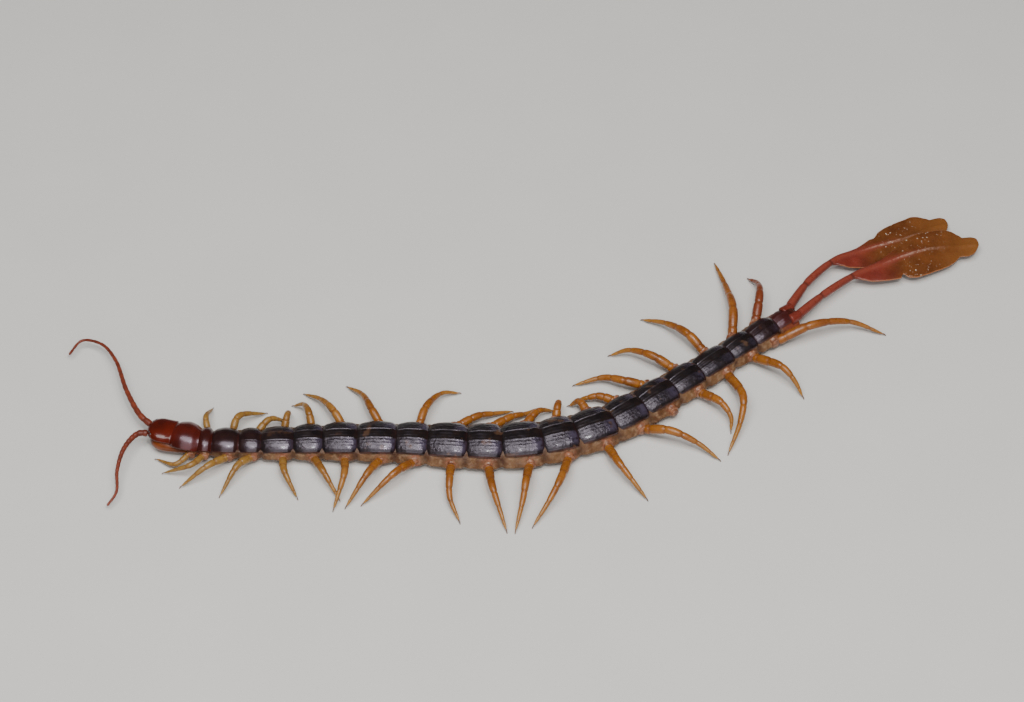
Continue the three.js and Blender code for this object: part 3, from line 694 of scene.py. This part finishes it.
shell_finish, tree, shader = material(
    "head_shell", Specular_IOR_Level=0.45, Coat_Weight=0.15, Coat_Roughness=0.1)
reddish = mix(tree, patchy(tree, 350, 3), (0.1, 0.009, 0.003, 1), (0.05, 0.005, 0.002, 1))
coloured(tree, shader, reddish)
worn(tree, shader, 900, 0.15, 0.22)
bump(tree, shader, patchy(tree, 2800, 2, 0.3, 0.45), 0.00001, 0.4)
head_shell = drawn_out("head_shell", HEAD["sides"], HEAD["rings"], head_place)
finished(head_shell, shell_finish, "head")


# The eyes: four black, glassy beads in a cluster on each front corner of the head, more than half
# sunk in the shell. Each place is a ring of the shell, counted from the front, and an angle up from
# its rim in degrees.
EYES = {"radius": 0.15, "sunk": 0.4, "sides": 16, "rings": 12}
EYE_PLACES = [(7, 42), (8, 8), (11, 36), (12, 6)]
eye_finish, tree, shader = material("eyes", Coat_Weight=1.0, Coat_Roughness=0.03)
black = mix(tree, patchy(tree, 4000, 2, 0.4, 0.7), (0.004, 0.003, 0.003, 1), (0.02, 0.01, 0.008, 1))
coloured(tree, shader, black)
worn(tree, shader, 3000, 0.05, 0.1)


def eye_place(centre, ring, angle):
    tilt = math.pi * ring / EYES["rings"]
    bead = Vector((math.sin(tilt) * math.cos(angle), math.sin(tilt) * math.sin(angle), math.cos(tilt)))
    return centre + EYES["radius"] * bead


for hand, side_name in HANDS:
    for number, (ring, rise) in enumerate(EYE_PLACES, start=1):
        angle = math.radians(rise if hand > 0 else 180 - rise)
        middle = head_place(ring, math.pi / 2)
        middle.z = HEAD["margin"]
        surface = head_place(ring, angle)
        centre = surface + EYES["sunk"] * EYES["radius"] * (middle - surface).normalized()
        bead = drawn_out(
            f"eye_{side_name}_{number}", EYES["sides"], EYES["rings"], functools.partial(eye_place, centre))
        finished(bead, eye_finish)


# The breast plate and the poison claws: a stout orange-red block under the head, which carries two
# curved pincers of glossy horn with black tips.
BREAST_PLATE = {
    "half_width": 0.8, "reach": 1.5, "bottom": 0.7, "top": 1.6, "depth": 1, "sides": 32, "rings": 24}
POISON_CLAW = [
    (-2.7, 1.5, 0.42), (-0.8, 1.4, 0.76), (0.7, 1.42, 0.88), (1.5, 1.38, 0.9), (2.2, 1.2, 0.78),
    (2.8, 0.75, 0.42), (2.95, 0.3, 0.1),
]
POISON_CLAW_HEIGHT = 1.56
POISON_CLAW_SIDES, POISON_CLAW_RINGS = 32, 48


def way_along(points, first_direction=None):
    """A smooth way through the points: from a share of its length to place, direction, side and up."""
    line = smooth_line(points)

    @functools.cache
    def frame_at(share):
        centre, direction = spot_on(line, share * line[1][-1])
        if share == 0 and first_direction:
            direction = first_direction
        side = UP.cross(direction).normalized()
        return centre, direction, side, direction.cross(side).normalized()

    return frame_at


def tube(name, way, sides, rings, radius_at, marks=(), ends=3):
    """A round tube along a way, with rounded ends."""
    def place(ring, angle):
        share = ring / rings
        centre, _, side, up = way(share)
        radius = radius_at(share) * closing(ring, rings, ends)
        return centre + radius * (math.cos(angle) * side + math.sin(angle) * up)
    return drawn_out(name, sides, rings, place, marks)


breast_middle = (BREAST_PLATE["top"] + BREAST_PLATE["bottom"]) / 2
breast_way = way_along([
    from_body(segment_start[0] - BREAST_PLATE["reach"], 1, 0, breast_middle),
    from_body(segment_start[0] + BREAST_PLATE["depth"], 1, 0, breast_middle)])


def breast_place(ring, angle):
    """Nearly square across, with rounded corners and ends."""
    centre, _, side, up = breast_way(ring / BREAST_PLATE["rings"])
    narrow = closing(ring, BREAST_PLATE["rings"], 4)
    outward, rise = math.cos(angle), math.sin(angle)
    square = 1 / (abs(outward) ** 4 + abs(rise) ** 4) ** 0.25
    half_height = (BREAST_PLATE["top"] - BREAST_PLATE["bottom"]) / 2
    reach = BREAST_PLATE["half_width"] * outward * side + half_height * rise * up
    return centre + narrow * square * reach


claw_finish, tree, shader = material(
    "poison_claws", Specular_IOR_Level=0.4, Coat_Weight=0.1, Coat_Roughness=0.12)
orange = mix(tree, patchy(tree, 500, 3), (0.18, 0.045, 0.011, 1), (0.1, 0.02, 0.005, 1))
tip = ramp(tree, attribute(tree, "along"), 0.78, 0.9)
coloured(tree, shader, mix(tree, tip, orange, (0.006, 0.004, 0.004, 1)))
worn(tree, shader, 900, 0.14, 0.3)
bump(tree, shader, grain(tree, 2500, 2), 0.00003, 0.6)
breast_plate = drawn_out("breast_plate", BREAST_PLATE["sides"], BREAST_PLATE["rings"], breast_place)
finished(breast_plate, claw_finish)
for hand, side_name in HANDS:
    places = [
        from_body(segment_start[0], hand, outward, POISON_CLAW_HEIGHT, forward)
        for forward, outward, _ in POISON_CLAW]
    way = way_along(places)
    travelled = distances_along(places)
    stops = [(spot / travelled[-1], radius) for spot, (_, _, radius) in zip(travelled, POISON_CLAW)]
    claw = tube(
        f"poison_claw_{side_name}", way, POISON_CLAW_SIDES, POISON_CLAW_RINGS,
        lambda share: profile_at(share, stops),
        {"along": lambda ring, angle: ring / POISON_CLAW_RINGS}, ends=4)
    finished(claw, claw_finish, f"forcipule_{side_name}")


# The feelers: two long, tapering whips of 20 short bead-like articles of dull red-brown horn. Each
# springs from the front of the head, beside its middle and just under its rim.
FEELER_LEFT = [(-50.3, 0.8, 2.6), (-51.9, -1.6, 2.6), (-52.6, -5, 2.1), (-52.5, -8.2, 1.5), (-53.6, -10.1, 1)]
FEELER_RIGHT = [
    (-50.2, 3.9, 2.7), (-52.4, 8.1, 2.8), (-54.5, 13.9, 2.4), (-56.8, 17.1, 2), (-59.6, 18, 1.6),
    (-61.2, 15.7, 1.3),
]
FEELER = {
    "spread": 0.72, "height": 2.45, "sunk": 0.2, "root_radius": 0.5, "tip_radius": 0.17, "articles": 20,
    "sides": 16, "rings": 240}
# One article's outline between its narrow joints, and how far along it a joint's dark ring reaches.
ARTICLE = {"waist": 0.9, "swell": 0.14, "outline": [(0, 0), (0.25, 0.6), (0.8, 1), (1, 0)], "dark_ring": 0.1}
feeler_finish, tree, shader = material("feelers", Specular_IOR_Level=0.3)
brown = mix(tree, patchy(tree, 900, 3), (0.19, 0.036, 0.016, 1), (0.1, 0.018, 0.009, 1))
joint = product(tree, attribute(tree, "joint"), 0.45)
coloured(tree, shader, mix(tree, joint, brown, (0.07, 0.014, 0.008, 1)))
worn(tree, shader, 1800, 0.32, 0.5)
bump(tree, shader, grain(tree, 5000, 2), 0.00003, 0.6)


def feeler_radius(share):
    thick = FEELER["root_radius"] + (FEELER["tip_radius"] - FEELER["root_radius"]) * share**0.6
    along = share * FEELER["articles"] % 1
    return thick * (ARTICLE["waist"] + ARTICLE["swell"] * profile_at(along, ARTICLE["outline"]))


def feeler_joint(ring, angle):
    along = ring / FEELER["rings"] * FEELER["articles"] % 1
    return bell(min(along, 1 - along), ARTICLE["dark_ring"])


for hand, side_name, points in ((-1, "left", FEELER_LEFT), (1, "right", FEELER_RIGHT)):
    root = from_body(0, hand, FEELER["spread"], FEELER["height"], -FEELER["sunk"])
    way = way_along([root, *points], -body_frame(0)[1])
    feeler = tube(
        f"feeler_{side_name}", way, FEELER["sides"], FEELER["rings"], feeler_radius, {"joint": feeler_joint})
    finished(feeler, feeler_finish, f"antenna_{side_name}")


# The walking legs: slender jointed legs of amber horn, five articles each, which rise from the cuff
# to a knee and come down to a dark claw on the table. The 16th left leg is only a stump.
LEG = {"sides": 20, "rings": 130, "sunk": 0.6, "lean": 0.5, "clear": 0.3, "swell": 1.02}
LEG_JOINT = {"radius": 0.92, "before": 0.012, "after": 0.008, "shoulder": 0.01, "dark_ring": 0.014}
CLAW = {"length": 0.45, "height": 0.42, "tip": 0.04, "sides": 12, "rings": 14}
CLAW_ROOT = {"radius": 0.1, "sunk": 0.12, "bend": 0.55, "sag": 0.1}
STUMP = {"reach": 0.2, "radius": 0.55, "rings": 24}
FIRST_LEG_SHARES = {0: 0.78, 1: 0.88}
FLAT = Vector((1, 1, 0))
# An article is given by where it starts and ends, as shares of the leg, and its radius at both. The
# first one lies in the cuff.
LEG_ARTICLES = [
    (0, 0.07, 0.56, 0.62), (0.1, 0.26, 0.6, 0.59), (0.3, 0.46, 0.54, 0.49), (0.5, 0.66, 0.44, 0.38),
    (0.7, 0.86, 0.33, 0.26), (0.89, 1, 0.23, 0.12),
]
# Places are forward, outward and up from the body's middle line: the knee, the shin where there is
# one, and the foot.
LEFT_LEGS = [
    [(1.7, 3.7, 1.1), (5.0, 2.8)],
    [(1.4, 4.2, 2.2), (5.5, 4.5)],
    [(2.7, 4.2, 2.2), (6.4, 6.4)],
    [(1.9, 3.9, 2.1), (4.3, 7.9)],
    [(-0.3, 4.9, 2.2), (-2.1, 8.4)],
    [(-1.3, 4.9, 2.3), (-3.7, 8.8)],
    [(-0.1, 5.7, 2.4), (1.4, 10.5)],
    [(1.5, 5.5, 2.5), (4.6, 10.1)],
    [(2.3, 5.6, 2.5), (6.7, 9.8)],
    [(0, 5.9, 2.5), (-0.2, 8.7, 1.6), (-1.8, 12.0)],
    [(-0.5, 7.1, 2.6), (-2.6, 13.4)],
    [(1.0, 6.7, 2.6), (1.7, 9.0, 1.8), (3.4, 13.5)],
    [(2.4, 7.1, 2.6), (4.7, 9.5, 1.7), (7.9, 12.2)],
    [(0.2, 6.9, 2.6), (-1.5, 12.9)],
    [(-2.4, 6.2, 2.8), (-4.7, 9.3, 1.7), (-6.2, 12.6)],
    None,
    [(-0.6, 6.3, 2.5), (-0.5, 8.6, 1.6), (0.6, 10.0)],
    [(1.7, 7.5, 2.8), (4.1, 9.9, 1.8), (8.5, 12.5)],
    [(-1.2, 7.0, 2.9), (-1.5, 9.5, 1.7), (-1.4, 11.5)],
    [(-5.2, 3.8, 2.9), (-10.4, 6.0, 1.9), (-13.8, 10.0)],
]
RIGHT_LEGS = [
    [(1.9, 3.4, 0.6), (4.8, 3.0)],
    [(0.7, 4.1, 2.1), (0.3, 7.4)],
    [(-0.9, 4.4, 2.2), (-4.6, 6.6)],
    [(-2.0, 3.9, 2.2), (-4.5, 5.1)],
    [(-0.6, 4.4, 2.5), (-0.9, 6.6)],
    [(0.6, 4.9, 2.5), (1.4, 6.8, 1.6), (3.1, 7.7)],
    [(1.6, 4.8, 2.5), (3.5, 7.6, 1.6), (6.1, 9.7)],
    [(1.6, 5.1, 2.5), (3.1, 8.5, 1.5), (5.5, 10.9)],
    [(-0.9, 6.0, 2.2), (-2.9, 9.3, 1.2), (-5.4, 10.2)],
    [(-3.1, 5.4, 1.5), (-5.4, 6.4, 0.9), (-7.8, 7.4)],
    [(-3.0, 5.3, 1.4), (-5.2, 6.4, 0.8), (-6.8, 7.8)],
    [(-2.3, 5.4, 1.7), (-4.8, 6.4)],
    [(-1.1, 5.45, 2.3), (-2.1, 6.9)],
    [(0.4, 5.2, 1.7), (1.8, 6.2)],
    [(1.6, 5.0, 1.5), (2.9, 5.9, 1.1), (4.4, 7.0)],
    [(2.2, 4.6, 2.2), (3.8, 7.4, 1.4), (7.6, 9.6)],
    [(1.6, 5.6, 2.6), (3.1, 9.1, 1.6), (5.3, 10.9)],
    [(0.5, 5.6, 2.8), (1.0, 9.8, 1.6), (2.6, 13.3)],
    [(-2.8, 5.3, 2.9), (-5.4, 9.7, 1.6), (-7.9, 15.1)],
    [(-3.4, 5.1, 2.9), (-5.2, 7.5, 1.6), (-5.5, 10.0)],
]
LEG_REDNESS = {"left": {1: 0.1, 20: 0.25}, "right": {20: 0.9, 19: 0.25}, "others": 0.04}
# The legs turn yellower over this stretch towards the head, in metres along the table.
YELLOW_FROM, YELLOW_TO = -0.02, -0.036

joint_middles = [
    (end + start) / 2 for (_, end, _, _), (start, _, _, _) in zip(LEG_ARTICLES, LEG_ARTICLES[1:])]


def leg_radius_stops():
    """The radius along a leg: the articles are smooth spindles, barely narrower at their joints."""
    stops = []
    for start, end, near, far in LEG_ARTICLES:
        if start > 0:
            stops.append((start - LEG_JOINT["before"], LEG_JOINT["radius"] * near))
        stops.append((start + LEG_JOINT["shoulder"], near))
        stops.append(((start + end) / 2, LEG["swell"] * (near + far) / 2))
        stops.append((end - LEG_JOINT["shoulder"], far))
        if end < 1:
            stops.append((end + LEG_JOINT["after"], LEG_JOINT["radius"] * far))
    return stops


LEG_STOPS = leg_radius_stops()

leg_finish, tree, shader = material(
    "leg_amber", Subsurface_Weight=0.12, Subsurface_Radius=(1, 0.4, 0.15), Subsurface_Scale=0.0004,
    Specular_IOR_Level=0.35)
shades = patchy(tree, 500, 4)
amber = mix(tree, shades, (0.29, 0.105, 0.017, 1), (0.17, 0.053, 0.009, 1))
amber = mix(tree, ramp(tree, attribute(tree, "along"), 0.55, 1), amber, (0.31, 0.145, 0.026, 1))
spot = node(tree, "ShaderNodeTexCoord").outputs["Object"]
forward = ramp(tree, node(tree, "ShaderNodeSeparateXYZ", Vector=spot).outputs["X"], YELLOW_FROM, YELLOW_TO)
yellow = mix(tree, shades, (0.28, 0.165, 0.04, 1), (0.2, 0.105, 0.022, 1))
amber = mix(tree, product(tree, forward, 0.8), amber, yellow)
amber = mix(tree, attribute(tree, "red"), amber, (0.15, 0.03, 0.012, 1))
joint_share = product(tree, attribute(tree, "joint"), 0.5)
coloured(tree, shader, mix(tree, joint_share, amber, (0.13, 0.04, 0.012, 1)))
worn(tree, shader, 1200, 0.2, 0.38)
bump(tree, shader, grain(tree, 2600, 3), 0.00004, 0.6)

horn_finish, tree, shader = material("dark_claws", Coat_Weight=0.3)
coloured(tree, shader, mix(tree, patchy(tree, 1500, 3), (0.16, 0.07, 0.03, 1), (0.06, 0.022, 0.01, 1)))
worn(tree, shader, 2000, 0.2, 0.36)
bump(tree, shader, grain(tree, 5000, 2), 0.00002, 0.5)


def leg_joint(share):
    return max(bell(share - middle, LEG_JOINT["dark_ring"]) for middle in joint_middles)


def walking_leg(index, hand, side_name, pose):
    """One leg with its claw, or a stump where there is no pose."""
    name = f"leg_{side_name}_{index + 1:02d}"
    distance = leg_distance(index)
    root, start, stump_end = (
        from_body(distance, hand, socket_end(index) + reach, SOCKET["height"])
        for reach in (-LEG["sunk"], LEG["clear"], STUMP["reach"]))
    thick = leg_girth(index) * FIRST_LEG_SHARES.get(index, 1)
    redness = LEG_REDNESS[side_name].get(index + 1, LEG_REDNESS["others"])
    if pose is None:
        stump = tube(
            f"walking_{name}", way_along([root, stump_end]), LEG["sides"], STUMP["rings"],
            lambda share: STUMP["radius"] * thick)
        finished(stump, cuff_finish, name)
        return
    *bends, foot = pose
    bends = [from_body(distance, hand, out, up, forward) for forward, out, up in bends]
    foot = from_body(distance, hand, foot[1], 0, foot[0])
    level = ((foot - bends[-1]) * FLAT).normalized()
    ankle = foot - CLAW["length"] * level + CLAW["height"] * UP
    lean = ((bends[0] - start) * FLAT).normalized()
    root += LEG["lean"] * LEG["sunk"] * lean
    way = way_along([root, *bends, ankle])
    leg = tube(
        f"walking_{name}", way, LEG["sides"], LEG["rings"],
        lambda share: thick * profile_at(share, LEG_STOPS), {
            "along": lambda ring, angle: ring / LEG["rings"],
            "red": lambda ring, angle: redness,
            "joint": lambda ring, angle: leg_joint(ring / LEG["rings"]),
        })
    finished(leg, leg_finish, name)
    top, direction, _, _ = way(1)
    bend = ankle + CLAW_ROOT["bend"] * CLAW["length"] * level - CLAW_ROOT["sag"] * UP
    claw_way = way_along([top - CLAW_ROOT["sunk"] * direction, bend, foot + CLAW["tip"] * UP])
    claw = tube(
        f"claw_{side_name}_{index + 1:02d}", claw_way, CLAW["sides"], CLAW["rings"],
        lambda share: CLAW_ROOT["radius"] * thick * (1 - share) + CLAW["tip"] * share, ends=2)
    finished(claw, horn_finish)


for hand, side_name, poses in ((-1, "left", LEFT_LEGS), (1, "right", RIGHT_LEGS)):
    for index, pose in enumerate(poses):
        walking_leg(index, hand, side_name, pose)


# The last legs: two slender dark-red articles, then a tibia and a tarsus spread into one broad leaf
# of thin horn with a pale rim and a raised midrib, and a small oval end article.
LAST_LEG_LEFT = [
    (44.2, 26.5, 2.1), (49, 30.2, 2), (52.1, 31.6, 2), (55.5, 33.3, 1.95), (58.7, 34.6, 1.85),
    (63.1, 35.4, 1.7), (66.6, 35.9, 1.6),
]
LAST_LEG_RIGHT = [
    (42.1, 29, 2.1), (46.3, 33.1, 1.9), (49.2, 34.4, 1.6), (51.5, 35.5, 1.4), (54, 36.6, 1.2),
    (57, 37.8, 1.1), (60.7, 39.7, 1.1), (62.7, 40.3, 1),
]
LEAF = {
    "tilt": math.radians(6), "slant": math.radians(18), "from": 0.36, "to": 0.48, "sides": 72, "rings": 260}
BLADE = {"wider_than": 0.8, "thinned": 0.72, "roundness": 0.75, "rimmed_from": 1.1}
MIDRIB = {"height": 0.35, "breadth": 0.3, "fleshy_breadth": 0.5, "vein_breadth": 0.06}
VEIN = [(0.5, 0), (0.64, 0.7), (0.78, 0.35), (0.88, 0)]
# A station is a share of the leg, the half widths to the left and right of its midrib, and half its
# thickness.
LAST_LEG_STATIONS = [
    (0, 0.5, 0.5, 0.5),
    (0.03, 0.64, 0.64, 0.6),
    (0.15, 0.55, 0.55, 0.52),
    (0.17, 0.47, 0.47, 0.46),
    (0.195, 0.56, 0.55, 0.5),
    (0.33, 0.53, 0.51, 0.46),
    (0.36, 0.49, 0.46, 0.41),
    (0.39, 1.2, 0.48, 0.38),
    (0.44, 2.0, 0.5, 0.35),
    (0.5, 2.6, 0.75, 0.33),
    (0.56, 3.1, 1.25, 0.31),
    (0.595, 3.3, 1.6, 0.3),
    (0.61, 2.8, 1.6, 0.3),
    (0.64, 3.7, 2.4, 0.3),
    (0.69, 4.2, 2.95, 0.3),
    (0.76, 4.3, 3.3, 0.3),
    (0.815, 4.0, 3.3, 0.3),
    (0.86, 3.5, 2.85, 0.3),
    (0.885, 3.0, 2.3, 0.28),
    (0.905, 2.35, 1.85, 0.26),
    (0.917, 1.9, 1.55, 0.26),
    (0.95, 1.9, 1.55, 0.26),
    (0.98, 1.55, 1.25, 0.24),
    (1, 0.7, 0.6, 0.2),
]
STALK_JOINTS = (0.17, 0.36)
STALK_JOINT_BREADTH = 0.006
LAST_HIP = {
    "outward": 0.9, "height": 2.2, "inside": 1.7, "reach": 0.45, "root_radius": 0.84, "end_radius": 0.64}
HIP_SPIKE = {
    "outward": 1, "height": 1.35, "inside": 2.4, "reach": 0.75, "root_radius": 0.5, "end_radius": 0.16}
HIP_SPLAY = 0.1
HIP_SIDES, HIP_RINGS = 20, 24

leaf_finish, tree, shader = material(
    "leaf_horn", Specular_IOR_Level=0.35, Subsurface_Weight=0.1, Subsurface_Radius=(1, 0.4, 0.2),
    Subsurface_Scale=0.0004)
along, across = attribute(tree, "along"), attribute(tree, "across")
shades = patchy(tree, 420, 5)
olive = mix(tree, shades, (0.14, 0.045, 0.012, 1), (0.082, 0.024, 0.007, 1))
olive = mix(tree, ramp(tree, along, 0.78, 1), olive, (0.19, 0.07, 0.017, 1))
dark_red = mix(tree, shades, (0.18, 0.03, 0.018, 1), (0.1, 0.016, 0.01, 1))
leafy = mix(tree, ramp(tree, along, 0.5, 0.62), dark_red, olive)
fleshy = product(tree, attribute(tree, "rib"), ramp(tree, along, 0.76, 0.6))
leafy = mix(tree, fleshy, leafy, (0.2, 0.04, 0.024, 1))
leafy = mix(tree, product(tree, attribute(tree, "joint"), 0.7), leafy, (0.05, 0.012, 0.009, 1))
leafy = mix(tree, ramp(tree, across, 0.96, 0.99), leafy, (0.3, 0.11, 0.04, 1))
pale_line = product(tree, attribute(tree, "vein"), patchy(tree, 2500, 2, 0.3, 0.55))
leafy = mix(tree, pale_line, leafy, (0.42, 0.26, 0.2, 1))
on_leaf = product(tree, ramp(tree, along, 0.6, 0.66), ramp(tree, along, 0.85, 0.75))
specks = product(tree, patchy(tree, 3000, 2, 0.66, 0.72), on_leaf)
leafy = mix(tree, specks, leafy, (0.6, 0.5, 0.4, 1))
coloured(tree, shader, leafy)
worn(tree, shader, 700, 0.17, 0.36)
bump(tree, shader, grain(tree, 2200, 4), 0.00005, 0.6)


def last_leg(hand, side_name, points):
    end = body_length
    root = from_body(end, hand, LAST_HIP["outward"], LAST_HIP["height"], LAST_HIP["reach"])
    way = way_along([root, *points], body_frame(end)[1])
    rings = LEAF["rings"]

    def sizes(share):
        """Both half widths and the half thickness at a share of the leg."""
        columns = ([(stop[0], stop[column]) for stop in LAST_LEG_STATIONS] for column in (1, 2, 3))
        return [profile_at(share, stops) for stops in columns]

    @functools.cache
    def ring_frame(ring):
        share = ring / rings
        centre, direction, side, up = way(share)
        leafy = profile_at(share, [(LEAF["from"], 0), (LEAF["to"], 1)])
        turn_up = Matrix.Rotation(leafy * LEAF["tilt"], 3, direction)
        side, up = turn_up @ side, turn_up @ up
        side = Matrix.Rotation(-leafy * LEAF["slant"], 3, up) @ side
        left, right, half = sizes(share)
        narrow = closing(ring, rings, 4)
        return centre, side, up, left * narrow, right * narrow, half * narrow

    def place(ring, angle):
        centre, side, up, left, right, half = ring_frame(ring)
        out, rise = math.cos(angle), math.sin(angle)
        wide = right if out > 0 else left
        thin = half * math.copysign(abs(rise) ** BLADE["roundness"], rise)
        if wide > BLADE["wider_than"]:
            rib = MIDRIB["height"] * half * bell(out * wide, MIDRIB["breadth"]) * rise
            thin = BLADE["thinned"] * thin + rib
        return centre + wide * out * side + thin * up

    def near_midrib(ring, angle, breadth):
        """From 1 on the midrib to 0 off it, over this breadth on both sides."""
        wide = sizes(ring / rings)[1 if math.cos(angle) > 0 else 0]
        return bell(math.cos(angle) * wide, breadth)

    marks = {
        "along": lambda ring, angle: ring / rings,
        "across": lambda ring, angle: (
            abs(math.cos(angle)) if sizes(ring / rings)[0] > BLADE["rimmed_from"] else 0),
        "joint": lambda ring, angle: max(
            bell(ring / rings - joint, STALK_JOINT_BREADTH) for joint in STALK_JOINTS),
        "rib": lambda ring, angle: near_midrib(ring, angle, MIDRIB["fleshy_breadth"]),
        "vein": lambda ring, angle: (
            near_midrib(ring, angle, MIDRIB["vein_breadth"]) * profile_at(ring / rings, VEIN)),
    }
    leg = drawn_out(f"leaf_leg_{side_name}", LEAF["sides"], rings, place, marks)
    finished(leg, leaf_finish, f"last_leg_{side_name}")
    for part, bar in (("hip", LAST_HIP), ("hip_spike", HIP_SPIKE)):
        bar_way = way_along([
            from_body(end, hand, bar["outward"] - HIP_SPLAY, bar["height"], bar["inside"]),
            from_body(end, hand, bar["outward"], bar["height"], -bar["reach"])])
        taper = bar["end_radius"] - bar["root_radius"]
        piece = tube(
            f"{part}_{side_name}", bar_way, HIP_SIDES, HIP_RINGS,
            lambda share: bar["root_radius"] + taper * share)
        finished(piece, leaf_finish if part == "hip" else leg_finish)


for hand, side_name, points in ((-1, "left", LAST_LEG_LEFT), (1, "right", LAST_LEG_RIGHT)):
    last_leg(hand, side_name, points)
